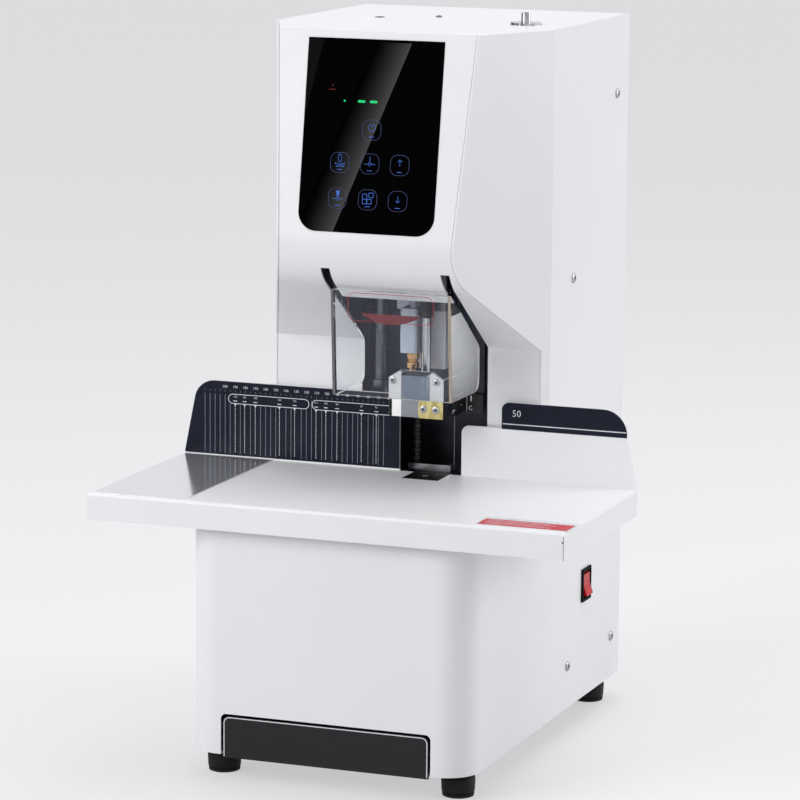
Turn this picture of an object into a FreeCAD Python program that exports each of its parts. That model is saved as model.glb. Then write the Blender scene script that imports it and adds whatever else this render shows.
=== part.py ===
import FreeCAD, Part
import os
from Sketcher import Constraint

# A free-standing document riveting machine, in millimetres.
# X runs to the operator's right, Y runs away from the operator and Z is up.
# The origin is on the floor, under the middle of the outer box.

SIZES = {
    # Whole machine
    "total_depth": 432.8,
    "cover_height": 649.6,
    "foot_height": 24.0,
    "sheet_wall": 1.5,
    "seam": 0.4,
    "running_gap": 0.3,
    "fit_gap": 0.05,
    "overrun": 5.0,
    "corner_error": 0.004,
    # Cabinet
    "cabinet_width": 263.4,
    "cabinet_corner": 30.0,
    "table_overhang": 12.0,
    "base_wall": 2.0,
    # Worktable
    "table_width": 439.0,
    "table_depth": 201.3,
    "table_height": 249.8,
    "skirt_height": 23.8,
    "table_bend": 3.0,
    "notch_left": 9.0,
    "notch_width": 35.0,
    "notch_depth": 32.3,
    # Head
    "column_setback": 4.8,
    "crease_setback": 15.4,
    "facet_slope": 0.4218,
    "top_reach": 74.8,
    "nose_reach": 106.6,
    "nose_height": 444.3,
    "nose_radius": 45.0,
    "throat_height": 366.7,
    # Opening in the head and its two guard slots
    "throat_middle": 17.0,
    "throat_width": 120.0,
    "throat_reach": 65.3,
    "slot_width": 8.5,
    "slot_top": 444.5,
    # Dark liner of the throat
    "liner_half": 87.0,
    "liner_setback": 47.7,
    "liner_top": 424.0,
    # Fences and what is printed on them
    "fence_wall": 2.0,
    "left_fence_inset": 3.0,
    "right_fence_inset": 1.0,
    "left_fence_right": -4.4,
    "left_fence_rise": 70.2,
    "left_fence_slant": 13.8,
    "left_fence_corner": 20.0,
    "right_fence_left": 54.5,
    "right_fence_low": 45.7,
    "right_fence_rise": 69.7,
    "right_fence_step": 92.0,
    "right_fence_corner": 7.0,
    "right_fence_curve": 22.0,
    "right_fence_slant": 9.0,
    "print_wall": 0.4,
    "print_lift": 3.0,
    "limit_label_drop": 24.5,
    # Polished plate let onto the left of the table
    "wear_wall": 0.8,
    "wear_inset": 4.9,
    "wear_width": 86.6,
    "wear_front_margin": 3.0,
    "wear_corner": 9.0,
    # Touch panel
    "panel_width": 126.0,
    "panel_length": 168.0,
    "panel_margin": 6.4,
    "panel_wall": 3.0,
    "panel_proud": 0.6,
    "panel_corner": 17.0,
    "board_wall": 1.6,
    "board_margin": 6.0,
    "board_rise": 18.0,
    "board_gap": 6.0,
    "spacer_radius": 3.0,
    # Head for which the heights of its mechanism are given
    "drawn_table": 249.8,
    "drawn_cover": 649.6,
    # Cast frame inside
    "frame_column_width": 70.0,
    "frame_column_share": 0.2773,
    "frame_back_gap": 2.0,
    "frame_top": 600.0,
    "frame_arm_low": 560.0,
    "frame_arm_width": 156.0,
    "frame_lug_depth": 34.0,
    "lower_arm_drop": 34.8,
    "lower_arm": 50.0,
    "lower_arm_reach": 31.0,
    "motor_arm_margin": 5.0,
    "frame_foot": 12.0,
    "frame_foot_share": 0.244,
    "frame_foot_width": 130.0,
    # Guide shafts of the press carriage
    "shaft_radius": 10.0,
    "shaft_spacing": 120.0,
    "shaft_setback": 29.7,
    "collar_radius": 14.0,
    "collar_low": 299.0,
    "collar_length": 29.0,
    # Press carriage
    "carriage_low": 426.0,
    "carriage_tall": 50.0,
    "carriage_deep": 32.0,
    "bush_radius": 13.0,
    "nut_radius": 12.0,
    "nut_flange_radius": 18.0,
    "nut_flange": 6.0,
    "carriage_travel": 56.2,
    "lead_screw_radius": 8.0,
    "lead_screw_low": 366.0,
    "bearing_radius": 17.5,
    "bearing_wall": 11.0,
    "pulley_clear": 6.0,
    "pulley_wall": 14.0,
    "screw_pulley_radius": 30.0,
    "motor_pulley_radius": 12.0,
    "belt_wall": 2.0,
    "belt_width": 10.0,
    "motor_share": 0.4653,
    "motor_radius_share": 0.1664,
    "press_motor_length": 118.0,
    "motor_shaft_radius": 4.0,
    # Stop rod under the carriage and small pieces in the throat
    "stop_rod_x": 5.3,
    "stop_rod_setback": 19.7,
    "stop_rod_radius": 4.5,
    "pin_x": 43.0,
    "pin_setback": 13.5,
    "pin_radius": 0.8,
    "pin_height": 53.0,
    "pin_tip_radius": 0.9,
    "pin_tip": 3.0,
    "bar_left": 1.3,
    "bar_width": 40.4,
    "bar_setback": 6.5,
    "bar_deep": 6.1,
    "bar_tall": 8.0,
    # Binding axis, drill and station
    "axis_x": 25.0,
    "paper_margin": 13.6,
    "station_left": -8.0,
    "station_width": 46.0,
    "station_wall": 7.4,
    "station_low": 397.0,
    "station_tall": 86.7,
    "rail_tall": 10.0,
    "rail_deep": 6.0,
    "rail_low": 446.0,
    "rail_left": -18.0,
    "rail_width": 73.0,
    "jaw_tall": 14.0,
    "housing_width": 32.0,
    "housing_deep": 29.0,
    "housing_low": 434.0,
    "housing_tall": 50.0,
    "spindle_radius": 6.0,
    "chuck_radius": 6.2,
    "chuck_length": 41.0,
    "chuck_chamfer": 2.4,
    "bit_radius": 4.4,
    "bit_wall": 1.2,
    "bit_tip": 306.2,
    "bit_edge": 1.5,
    "drill_motor_radius": 20.0,
    "drill_motor_length": 62.0,
    # Light tool block and rivet head
    "block_low": 345.0,
    "block_deep": 12.0,
    "block_left": 11.0,
    "block_width": 27.3,
    "nose_block_left": 2.4,
    "nose_block_width": 16.0,
    "nose_block_deep": 21.0,
    "nose_block_low": 361.0,
    "nose_block_tall": 40.0,
    "nose_block_corner": 3.0,
    "rivet_offset": 12.0,
    "rivet_rod_radius": 3.6,
    "rivet_rod_top": 433.4,
    "rivet_ring_radius": 5.7,
    "rivet_ring_tall": 6.4,
    "rivet_ring_groove": 1.2,
    "rivet_tip_radius": 3.5,
    "rivet_tip": 7.0,
    "yoke_tall": 8.0,
    "yoke_width": 26.0,
    "yoke_deep": 9.0,
    "cylinder_radius": 6.0,
    "cylinder_low": 436.0,
    "cylinder_tall": 44.0,
    "cylinder_arm_rise": 14.0,
    "cylinder_arm_tall": 15.0,
    "cylinder_cap": 4.0,
    # Press foot
    "foot_left": -1.5,
    "foot_width": 51.9,
    "foot_front_reach": 22.7,
    "foot_deep": 34.4,
    "foot_wall": 3.0,
    "foot_bottom": 306.3,
    "shield_low": 322.5,
    "shield_top": 348.0,
    "shield_chamfer": 10.4,
    "shield_chamfer_drop": 7.0,
    "pad_left": 0.7,
    "pad_width": 9.5,
    "pad_deep": 13.0,
    "window_wall": 3.0,
    "bracket_left": 27.0,
    "bracket_wall": 1.6,
    "bracket_corner": 2.0,
    "foot_screw_radius": 2.6,
    "foot_screw_head": 1.3,
    "left_screw_inset": 3.9,
    "right_screw_inset": 6.9,
    "bracket_screw_inset": 4.9,
    "arm_wall": 3.2,
    "arm_tall": 17.7,
    "foot_bar_left": 58.5,
    "foot_bar_width": 15.0,
    "foot_bar_wall": 6.0,
    "foot_bar_setback": 5.8,
    "foot_bar_top": 490.0,
    "guide_wall": 3.2,
    "guide_low": 430.0,
    "guide_tall": 42.0,
    # Anvil under the table notch
    "post_deep": 44.0,
    "post_width": 30.0,
    "die_wall": 6.0,
    "die_drop": 0.3,
    "pad_radius": 12.0,
    "pad_wall": 4.0,
    "lower_die_radius": 2.8,
    "heater_radius": 8.0,
    "heater_tall": 16.0,
    # Guard
    "guard_middle": 17.5,
    "guard_width": 112.0,
    "guard_wall": 3.0,
    "guard_front_top": 84.3,
    "guard_front_low": 78.3,
    "guard_top": 424.5,
    "guard_low": 329.5,
    "guard_back_gap": 8.3,
    "guard_corner": 10.0,
    "guard_skin_gap": 3.3,
    "guard_neck": 22.4,
    "guard_eye": 9.0,
    "hinge_pin_radius": 3.0,
    "hinge_pin_length": 10.0,
    "hinge_block": 8.0,
    "hinge_bar_tall": 12.0,
    # Chip tray
    "tray_opening_width": 195.4,
    "tray_opening_height": 36.6,
    "tray_opening_corner": 5.0,
    "tray_front_width": 191.0,
    "tray_front_drop": 2.5,
    "tray_front_tall": 37.0,
    "tray_front_wall": 3.0,
    "tray_width": 180.0,
    "tray_deep": 206.0,
    "tray_tall": 27.0,
    "tray_wall": 1.5,
    "tray_lift": 0.3,
    "rail_wall": 3.0,
    "tray_rail_tall": 12.0,
    # Chip chute
    "chute_size": 34.0,
    "chute_wall": 1.2,
    "chute_clear": 36.0,
    "chute_top": 440.0,
    "chute_setback": 7.0,
    "funnel_rise": 28.0,
    "funnel_spread": 6.0,
    # Nylon tube feed
    "inlet_x": 88.2,
    "inlet_setback": 63.3,
    "inlet_flange_radius": 14.0,
    "inlet_flange": 2.0,
    "inlet_radius": 4.3,
    "inlet_bore": 2.8,
    "inlet_height": 10.5,
    "feed_tube_wall": 1.0,
    "feed_block_width": 44.0,
    "feed_block_deep": 30.0,
    "feed_block_tall": 46.0,
    "feed_block_low": 500.0,
    "feed_nozzle": 30.0,
    "roller_radius": 8.0,
    "roller_wall": 8.0,
    "axle_radius": 2.0,
    "axle_end": 5.0,
    "feed_motor_radius": 14.0,
    "feed_motor_length": 36.0,
    # Screws and caps
    "screw_head_radius": 4.6,
    "screw_head": 2.2,
    "screw_radius": 2.5,
    "screw_length": 8.0,
    "front_screw_setback": 71.8,
    "head_screw_drop": 21.5,
    "head_screw_inset": 34.6,
    "head_screw_depth": 70.8,
    "base_screw_inset": 26.2,
    "base_screw_rise": 40.0,
    "cap_x": -55.4,
    "cap_setback": 74.6,
    "cap_radius": 12.5,
    "cap_wall": 0.8,
    "cap_screw_radius": 3.6,
    "top_screw_x": -11.6,
    "top_screw_setback": 110.0,
    "top_screw_radius": 3.0,
    "top_screw_head": 1.6,
    # Power switch
    "switch_setback": 121.9,
    "switch_height": 131.0,
    "switch_width": 25.0,
    "switch_tall": 31.0,
    "bezel_wall": 2.0,
    "well_wall": 1.0,
    "rocker_heel": 4.4,
    "bezel_rim": 2.2,
    "switch_depth": 22.0,
    "rocker_slope": 0.364,
    "rocker_margin": 2.3,
    "rocker_inset": 0.5,
    "rocker_pin_radius": 1.5,
    # Power supply and inlet at the back
    "supply_width": 110.0,
    "supply_clear": 4.0,
    "supply_tall": 46.0,
    "supply_left": -14.0,
    "power_inlet_x": 84.0,
    "power_inlet_height": 74.0,
    "power_inlet_width": 27.0,
    "power_inlet_tall": 20.0,
    "power_inlet_depth": 18.0,
    "power_inlet_rim": 3.0,
    "power_inlet_wall": 2.0,
    "blade_wall": 2.0,
    "blade_tall": 6.0,
    "blade_spacing": 7.0,
    "vent_length": 60.0,
    "vent_tall": 4.0,
    "vent_pitch": 11.0,
    "vent_low": 480.0,
    "vent_spread": 92.0,
    # Feet
    "rubber_radius": 15.0,
    "rubber_tall": 18.0,
    "foot_nut_radius": 7.5,
    "foot_bolt_radius": 4.0,
    "foot_bolt_sink": 4.5,
    "foot_inset": 21.7,
    "front_foot_setback": 37.0,
    "rear_foot_setback": 23.8,
}

VENT_ROWS = 8
doc = FreeCAD.newDocument("document_riveting_machine")
sheet = doc.addObject("Spreadsheet::Sheet", "sizes")
PIECES = []


def worth_of(value):
    """Give the plain number of a size or of a number."""
    return value.worth if isinstance(value, Size) else float(value)


def text_of(value):
    """Give the text that ties a size or a number to the sheet."""
    return value.text if isinstance(value, Size) else repr(float(value))


class Size:
    """A length, ratio or angle: its worth now and the text that ties it to the sheet."""

    def __init__(self, worth, text):
        self.worth = worth
        self.text = text

    def __add__(self, other):
        return Size(self.worth + worth_of(other), f"({self.text} + {text_of(other)})")

    def __sub__(self, other):
        return Size(self.worth - worth_of(other), f"({self.text} - {text_of(other)})")

    def __mul__(self, other):
        return Size(self.worth * worth_of(other), f"({self.text} * {text_of(other)})")

    def __truediv__(self, other):
        return Size(self.worth / worth_of(other), f"({self.text} / {text_of(other)})")

    def __neg__(self):
        return Size(-self.worth, f"(0 - {self.text})")

    def root(self):
        """Give the square root."""
        return Size(self.worth ** 0.5, f"sqrt({self.text})")


class SizeSheet:
    """Gives each driving dimension by its own name."""

    def __init__(self, values):
        self.values = dict(values)

    def __getattr__(self, name):
        if name not in self.values:
            raise AttributeError(name)
        return Size(self.values[name], f"sizes.{name}")


def fill_sheet(values):
    """Write every driving dimension to the sheet, each under its alias."""
    for row, (name, value) in enumerate(values.items(), 1):
        sheet.set(f"A{row}", name)
        sheet.set(f"B{row}", str(value))
        sheet.setAlias(f"B{row}", name)
    doc.recompute()


fill_sheet(SIZES)
size = SizeSheet(SIZES)
none = Size(0.0, "0")
one = Size(1.0, "1")
stretch = (size.cover_height - size.table_height) / (size.drawn_cover - size.drawn_table)


def level(height):
    """Give a height inside the head, which stretches with the head."""
    return size.table_height + (height - size.drawn_table) * stretch


def tall(length):
    """Give an upright length inside the head, which stretches with the head."""
    return length * stretch

# Places that follow from the driving dimensions
back_face = size.total_depth / 2
table_front = -size.total_depth / 2
cabinet_front = table_front + size.table_overhang
cabinet_half = size.cabinet_width / 2
fence_face = table_front + size.table_depth
column_face = fence_face + size.column_setback
crease = fence_face + size.crease_setback
top_front = fence_face - size.top_reach
nose_front = fence_face - size.nose_reach
table_under = size.table_height - size.sheet_wall
axis_y = fence_face - size.paper_margin
throat_left = size.throat_middle - size.throat_width / 2
throat_right = size.throat_middle + size.throat_width / 2
throat_front = fence_face - size.throat_reach
liner_back = fence_face + size.liner_setback
frame_front = liner_back + size.sheet_wall + size.frame_back_gap
shaft_y = fence_face + size.shaft_setback
carriage_front = shaft_y - size.carriage_deep / 2
rivet_x = size.axis_x - size.rivet_offset
base_top = size.foot_height + size.base_wall
frame_top = level(size.frame_top)
frame_arm_low = level(size.frame_arm_low)
lower_arm_top = size.table_height - size.lower_arm_drop
back_room = back_face - frame_front
frame_back = frame_front + back_room * size.frame_column_share
frame_foot_back = frame_back + back_room * size.frame_foot_share
motor_y = frame_front + back_room * size.motor_share
motor_radius = back_room * size.motor_radius_share
motor_setback = motor_y - shaft_y
travel = tall(size.carriage_travel)
carriage_low = level(size.carriage_low)
carriage_top = level(size.carriage_low + size.carriage_tall)
station_low = level(size.station_low)
housing_low = level(size.housing_low)
housing_top = level(size.housing_low + size.housing_tall)
foot_bottom = level(size.foot_bottom)
shield_low = level(size.shield_low)
nose_block_low = level(size.nose_block_low)
rivet_rod_top = level(size.rivet_rod_top)
cylinder_low = level(size.cylinder_low)
chuck_low = level(size.housing_low - size.chuck_length)

# Tilt of the head's front, as the sine and cosine of its lean
front_slope = (size.nose_reach - size.top_reach) / (size.cover_height - size.nose_height)
front_cosine = one / (front_slope * front_slope + 1).root()
front_sine = front_slope * front_cosine
facet_stretch = (size.facet_slope * size.facet_slope + 1).root()


def bind(thing, values):
    """Tie properties of one object to the sheet."""
    for path, value in values.items():
        thing.setExpression(path, text_of(value))


def place(thing, x, y, z):
    """Tie the place of one object to the sheet."""
    bind(thing, {"Placement.Base.x": x, "Placement.Base.y": y, "Placement.Base.z": z})


def block(name, x, y, z):
    """Make a box between pairs of places along X, Y and Z."""
    box = doc.addObject("Part::Box", name)
    bind(box, {"Length": x[1] - x[0], "Width": y[1] - y[0], "Height": z[1] - z[0]})
    place(box, x[0], y[0], z[0])
    return box


TURNS = {
    "X": FreeCAD.Rotation(FreeCAD.Vector(0, 1, 0), 90),
    "Y": FreeCAD.Rotation(FreeCAD.Vector(1, 0, 0), -90),
    "Z": FreeCAD.Rotation(),
}


def rod(name, start, length, radius, along="Z"):
    """Make a cylinder from its start point along one axis."""
    cylinder = doc.addObject("Part::Cylinder", name)
    bind(cylinder, {"Radius": radius, "Height": length})
    cylinder.Placement = FreeCAD.Placement(FreeCAD.Vector(), TURNS[along])
    place(cylinder, *start)
    return cylinder


def cone(name, start, length, low_radius, high_radius, along="Z"):
    """Make a cone or a frustum from its start point along one axis."""
    frustum = doc.addObject("Part::Cone", name)
    bind(frustum, {"Radius1": low_radius, "Radius2": high_radius, "Height": length})
    frustum.Placement = FreeCAD.Placement(FreeCAD.Vector(), TURNS[along])
    place(frustum, *start)
    return frustum


def fuse(name, shapes):
    """Join shapes into one solid."""
    joined = doc.addObject("Part::MultiFuse", name)
    joined.Shapes = shapes
    joined.Refine = True
    return joined


def cut(name, base, tools):
    """Take one or more tools away from a base."""
    result = doc.addObject("Part::Cut", name)
    result.Base = base
    result.Tool = tools[0] if len(tools) == 1 else fuse(name + "_tools", tools)
    result.Refine = True
    return result


def common(name, first, second):
    """Keep what two shapes share."""
    result = doc.addObject("Part::Common", name)
    result.Base = first
    result.Tool = second
    result.Refine = True
    return result


def group(name, shapes):
    """Keep several separate solids as one piece."""
    compound = doc.addObject("Part::Compound", name)
    compound.Links = shapes
    return compound


def tube(name, start, length, outer, inner, along="Z"):
    """Make a plain tube, bored right through."""
    skin = rod(name + "_skin", start, length, outer, along)
    bore = rod(name + "_bore", start, length, inner, along)
    return cut(name, skin, [bore])


def origin_plane(body, role):
    """Find one origin plane of a body."""
    for feature in body.Origin.OriginFeatures:
        if feature.Role == role:
            return feature
    raise ValueError(role)


def outline(body, name, role, corners):
    """Draw a closed outline of straight edges with every corner tied to the sheet."""
    sketch = body.newObject("Sketcher::SketchObject", name)
    sketch.AttachmentSupport = (origin_plane(body, role), [""])
    sketch.MapMode = "FlatFace"
    count = len(corners)
    spots = [FreeCAD.Vector(worth_of(across), worth_of(up), 0) for across, up in corners]
    for index, spot in enumerate(spots):
        sketch.addGeometry(Part.LineSegment(spot, spots[(index + 1) % count]), False)
    for index in range(count):
        sketch.addConstraint(Constraint("Coincident", index, 2, (index + 1) % count, 1))
    for index, (across, up) in enumerate(corners):
        for kind, value in (("DistanceX", across), ("DistanceY", up)):
            number = sketch.addConstraint(Constraint(kind, -1, 1, index, 1, worth_of(value)))
            sketch.setExpression(f"Constraints[{number}]", text_of(value))
    return sketch


def edges_where(shape, test):
    """Name the edges of a shape that pass a test."""
    return [f"Edge{number}" for number, edge in enumerate(shape.Edges, 1) if test(edge)]


def round_edges(body, name, radius, test):
    """Round the edges of a body that pass a test."""
    doc.recompute()
    before = body.Tip
    chosen = edges_where(before.Shape, test)
    fillet = body.newObject("PartDesign::Fillet", name)
    fillet.Base = (before, chosen)
    bind(fillet, {"Radius": radius})
    doc.recompute()
    return fillet


PLANES = {
    # role, the two axes drawn in, the axis of the thickness and its sense
    "XY": ("XY_Plane", ("x", "y"), "z", 1),
    "XZ": ("XZ_Plane", ("x", "z"), "y", -1),
    "YZ": ("YZ_Plane", ("y", "z"), "x", 1),
}


def plate(name, plane, corners, span, rounds=()):
    """Make a flat piece from an outline, a span along its thickness and rounded corners."""
    role, drawn, thick, sense = PLANES[plane]
    body = doc.addObject("PartDesign::Body", name)
    sketch = outline(body, name + "_outline", role, corners)
    pad = body.newObject("PartDesign::Pad", name + "_pad")
    pad.Profile = sketch
    bind(pad, {"Length": span[1] - span[0]})
    for number, (radius, spots) in enumerate(rounds):

        def is_corner(edge, spots=spots):
            if edge.Curve.TypeId != "Part::GeomLine":
                return False
            ends = [vertex.Point for vertex in edge.Vertexes]
            return any(
                all(abs(getattr(end, axis) - worth_of(length)) < size.corner_error.worth
                    for end in ends for axis, length in zip(drawn, spot))
                for spot in spots)

        round_edges(body, f"{name}_round_{number}", radius, is_corner)
    start, end = span
    body.setExpression("Placement.Base." + thick, text_of(start if sense > 0 else end))
    return body


def on_front(thing, x, inward, down, turn="0 deg"):
    """Lean an object with the head's front: x across, inward from the face, down along it."""
    thing.Placement = FreeCAD.Placement(
        FreeCAD.Vector(), FreeCAD.Rotation(FreeCAD.Vector(-1, 0, 0), 1))
    thing.setExpression("Placement.Rotation.Angle", f"{turn} + atan({front_slope.text})")
    place(thing, x, top_front + inward * front_cosine - down * front_sine,
          size.cover_height - inward * front_sine - down * front_cosine)
    return thing


def keep(piece, name):
    """Give a finished piece its label and put it on the list of pieces."""
    piece.Label = name
    PIECES.append(piece)
    return piece


def facet_half(y):
    """Give half the head's width at a place in front of the crease."""
    return cabinet_half - (crease - y) * size.facet_slope


nose_corner = (nose_front, size.nose_height)


def head_outline(floor):
    """Give the side view of the head down to a floor height, as Y and Z corners."""
    return [
        (back_face, floor),
        (column_face, floor),
        (column_face, size.throat_height),
        nose_corner,
        (top_front, size.cover_height),
        (back_face, size.cover_height),
    ]


def head_plan(inset, back):
    """Give the plan of the head, drawn in by an inset, as X and Y corners."""
    turn = inset * (facet_stretch - 1) / size.facet_slope
    half = cabinet_half - inset
    front = nose_front - size.overrun
    front_half = facet_half(front) - inset * facet_stretch
    return [
        (-half, back),
        (-half, crease - turn),
        (-front_half, front),
        (front_half, front),
        (half, crease - turn),
        (half, back),
    ]


def base_ring():
    """Walls of the base, open at the back, with round front corners."""
    low = (size.foot_height, table_under)
    outer = [(-cabinet_half, cabinet_front), (cabinet_half, cabinet_front),
             (cabinet_half, back_face), (-cabinet_half, back_face)]
    skin = plate("base_skin", "XY", outer, low, [(size.cabinet_corner, outer[:2])])
    half = cabinet_half - size.sheet_wall
    front = cabinet_front + size.sheet_wall
    behind = back_face + size.overrun
    inner = [(-half, front), (half, front), (half, behind), (-half, behind)]
    hollow_span = (size.foot_height - size.overrun, table_under + size.overrun)
    corner = size.cabinet_corner - size.sheet_wall
    hollow = plate("base_hollow", "XY", inner, hollow_span, [(corner, inner[:2])])
    return cut("base_ring", skin, [hollow])


def head_ring():
    """Side walls and facets of the head, trimmed to its side view."""
    span = (table_under, size.cover_height)
    skin = plate("head_skin", "XY", head_plan(none, back_face), span)
    tall_span = (table_under - size.overrun, size.cover_height + size.overrun)
    inner = head_plan(size.sheet_wall, back_face + size.overrun)
    hollow = plate("head_hollow", "XY", inner, tall_span)
    walls = cut("head_walls", skin, [hollow])
    wide = (-cabinet_half - size.overrun, cabinet_half + size.overrun)
    side_view = plate("head_side_view", "YZ", head_outline(table_under), wide,
                      [(size.nose_radius, [nose_corner])])
    return common("head_ring", walls, side_view)


def main_shell():
    """One painted shell: base walls, side walls and head facets, with its openings."""
    walls = fuse("shell_walls", [base_ring(), head_ring()])
    half = size.tray_opening_width / 2
    top = size.foot_height + size.tray_opening_height
    low = size.foot_height - size.overrun
    arch = [(-half, low), (half, low), (half, top), (-half, top)]
    mouth = plate("tray_mouth", "XZ", arch,
                  (cabinet_front - size.overrun, cabinet_front + size.overrun),
                  [(size.tray_opening_corner, arch[2:])])
    switch_y = column_face + size.switch_setback
    window = block("switch_window",
                   (cabinet_half - size.overrun, cabinet_half + size.overrun),
                   (switch_y - size.switch_width / 2 + size.bezel_rim,
                    switch_y + size.switch_width / 2 - size.bezel_rim),
                   (size.switch_height - size.switch_tall / 2 + size.bezel_rim,
                    size.switch_height + size.switch_tall / 2 - size.bezel_rim))
    return keep(cut("main_shell", walls, [mouth, window] + side_screw_holes()), "main_shell")


def side_screw_spots():
    """Give the name, Y and Z of each side screw."""
    return [
        ("head_front", column_face + size.front_screw_setback,
         size.nose_height - size.head_screw_drop),
        ("head_back", back_face - size.head_screw_inset,
         size.cover_height - size.head_screw_depth),
        ("base_front", column_face + size.front_screw_setback,
         size.foot_height + size.base_screw_rise),
        ("base_back", back_face - size.base_screw_inset, size.foot_height + size.base_screw_rise),
    ]


def side_screw_holes():
    """Through holes for the side screws, right across the machine."""
    length = size.cabinet_width + size.overrun * 2
    start = -cabinet_half - size.overrun
    return [rod(f"{name}_hole", (start, y, height), length, size.screw_radius, "X")
            for name, y, height in side_screw_spots()]


def side_screws():
    """Dome-headed screws on both sides, in one group."""
    screws = []
    for side, sign in (("left", -1), ("right", 1)):
        for name, y, height in side_screw_spots():
            wall = cabinet_half * sign
            shank_start = wall if sign < 0 else wall - size.screw_length
            shank = rod(f"{name}_{side}_shank", (shank_start, y, height), size.screw_length,
                        size.screw_radius, "X")
            head_start = wall - size.screw_head if sign < 0 else wall
            radii = (size.screw_radius, size.screw_head_radius)
            low, high = radii if sign < 0 else radii[::-1]
            head = cone(f"{name}_{side}_head", (head_start, y, height), size.screw_head,
                        low, high, "X")
            screws.append(fuse(f"{name}_{side}_screw", [shank, head]))
    return keep(group("side_screws", screws), "side_screws")


def base_plate():
    """Floor of the cabinet, with holes for the foot bolts."""
    half = cabinet_half - size.sheet_wall - size.seam
    front = cabinet_front + size.tray_front_wall + size.seam
    behind = back_face - size.sheet_wall - size.seam
    corners = [(-half, front), (half, front), (half, behind), (-half, behind)]
    floor = plate("base_floor", "XY", corners, (size.foot_height, base_top),
                  [(size.cabinet_corner, corners[:2])])
    holes = [rod(f"foot_hole_{index}", (x, y, size.foot_height - size.overrun),
                 size.base_wall + size.overrun * 2, size.foot_bolt_radius)
             for index, (x, y) in enumerate(foot_spots())]
    rails = []
    rail_front = cabinet_front + size.tray_front_wall + size.overrun
    for name, sign in (("left", -1), ("right", 1)):
        near = (size.tray_width / 2 + size.running_gap) * sign
        far = near + size.rail_wall * sign
        span_x = (far, near) if sign < 0 else (near, far)
        rails.append(block(f"{name}_rail", span_x, (rail_front, rail_front + size.tray_deep),
                           (base_top, base_top + size.tray_rail_tall)))
    return keep(cut("base_plate", fuse("railed_floor", [floor] + rails), holes), "base_plate")


def foot_spots():
    """Give the X and Y of each foot."""
    x = cabinet_half - size.foot_inset
    front = cabinet_front + size.front_foot_setback
    rear = back_face - size.rear_foot_setback
    return [(-x, front), (x, front), (-x, rear), (x, rear)]


def feet():
    """Rubber feet, each with its own bolt and nut."""
    rubbers = []
    bolts = []
    for index, (x, y) in enumerate(foot_spots()):
        pad = rod(f"rubber_pad_{index}", (x, y, none), size.rubber_tall, size.rubber_radius)
        socket = rod(f"rubber_socket_{index}", (x, y, size.rubber_tall / 2),
                     size.rubber_tall, size.foot_bolt_radius)
        rubbers.append(cut(f"rubber_{index}", pad, [socket]))
        shank = rod(f"bolt_shank_{index}", (x, y, size.rubber_tall / 2),
                    base_top - size.foot_bolt_sink, size.foot_bolt_radius)
        nut = doc.addObject("Part::Prism", f"bolt_nut_{index}")
        nut.Polygon = 6
        bind(nut, {"Circumradius": size.foot_nut_radius,
                   "Height": size.foot_height - size.rubber_tall})
        place(nut, x, y, size.rubber_tall)
        bolts.append(fuse(f"foot_bolt_{index}", [shank, nut]))
    keep(group("rubber_feet", rubbers), "rubber_feet")
    keep(group("foot_bolts", bolts), "foot_bolts")


def head_cover():
    """Tilted front, nose, slanted underside and column face, folded from one sheet."""
    body = doc.addObject("PartDesign::Body", "head_cover_sheet")
    sketch = outline(body, "head_cover_outline", "YZ_Plane", head_outline(table_under))
    pad = body.newObject("PartDesign::Pad", "head_cover_pad")
    pad.Profile = sketch
    pad.Midplane = True
    bind(pad, {"Length": size.cabinet_width + size.overrun * 2})
    nose = (worth_of(nose_front), worth_of(size.nose_height))

    def is_nose(edge):
        ends = [vertex.Point for vertex in edge.Vertexes]
        return all(abs(end.y - nose[0]) < size.seam.worth and abs(end.z - nose[1]) < size.seam.worth
                   for end in ends)

    round_edges(body, "head_cover_nose", size.nose_radius, is_nose)
    half = worth_of(cabinet_half + size.overrun)
    open_faces = []
    for number, face in enumerate(body.Tip.Shape.Faces, 1):
        box = face.BoundBox
        is_side = box.XLength < size.seam.worth
        is_back = box.YLength < size.seam.worth and box.YMin > back_face.worth - size.seam.worth
        is_top = box.ZLength < size.seam.worth
        if is_side and abs(box.XMin) < half + size.seam.worth or is_back or is_top:
            open_faces.append(f"Face{number}")
    before = body.Tip
    wall = body.newObject("PartDesign::Thickness", "head_cover_wall")
    wall.Base = (before, open_faces)
    wall.Mode = "Skin"
    wall.Join = "Intersection"
    wall.Reversed = True
    bind(wall, {"Value": size.sheet_wall})
    doc.recompute()
    inner = head_plan(size.sheet_wall + size.seam, back_face)
    tall_span = (table_under - size.overrun, size.cover_height + size.overrun)
    trim = plate("head_cover_trim", "XY", inner, tall_span)
    trimmed = common("head_cover_trimmed", body, trim)
    return keep(cut("head_cover", trimmed, throat_tools() + [panel_recess()]), "head_cover")


def throat_tools():
    """Throat opening and the two slots for the guard's arms."""
    low = table_under - size.overrun
    behind = column_face + size.overrun * 2
    mouth = block("throat_mouth", (throat_left, throat_right), (throat_front, behind),
                  (low, size.nose_height))
    far = nose_front - size.overrun
    left = block("left_slot", (throat_left, throat_left + size.slot_width),
                 (far, throat_front + size.overrun), (size.throat_height, size.slot_top))
    right = block("right_slot", (throat_right - size.slot_width, throat_right),
                  (far, throat_front + size.overrun), (size.throat_height, size.slot_top))
    return [mouth, left, right]


def panel_outline(margin):
    """Give the touch panel's outline on the tilted front, drawn in by a margin."""
    half = size.panel_width / 2 - margin
    low = -size.panel_margin - size.panel_length + margin
    high = -size.panel_margin - margin
    return [(-half, low), (half, low), (half, high), (-half, high)]


def panel_recess():
    """Window in the tilted front that the touch panel fills."""
    corners = panel_outline(-size.seam / 2)
    window = plate("panel_window", "XZ", corners, (none, size.overrun * 2),
                   [(size.panel_corner, corners[:2])])
    return on_front(window, none, size.overrun, none)


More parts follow.
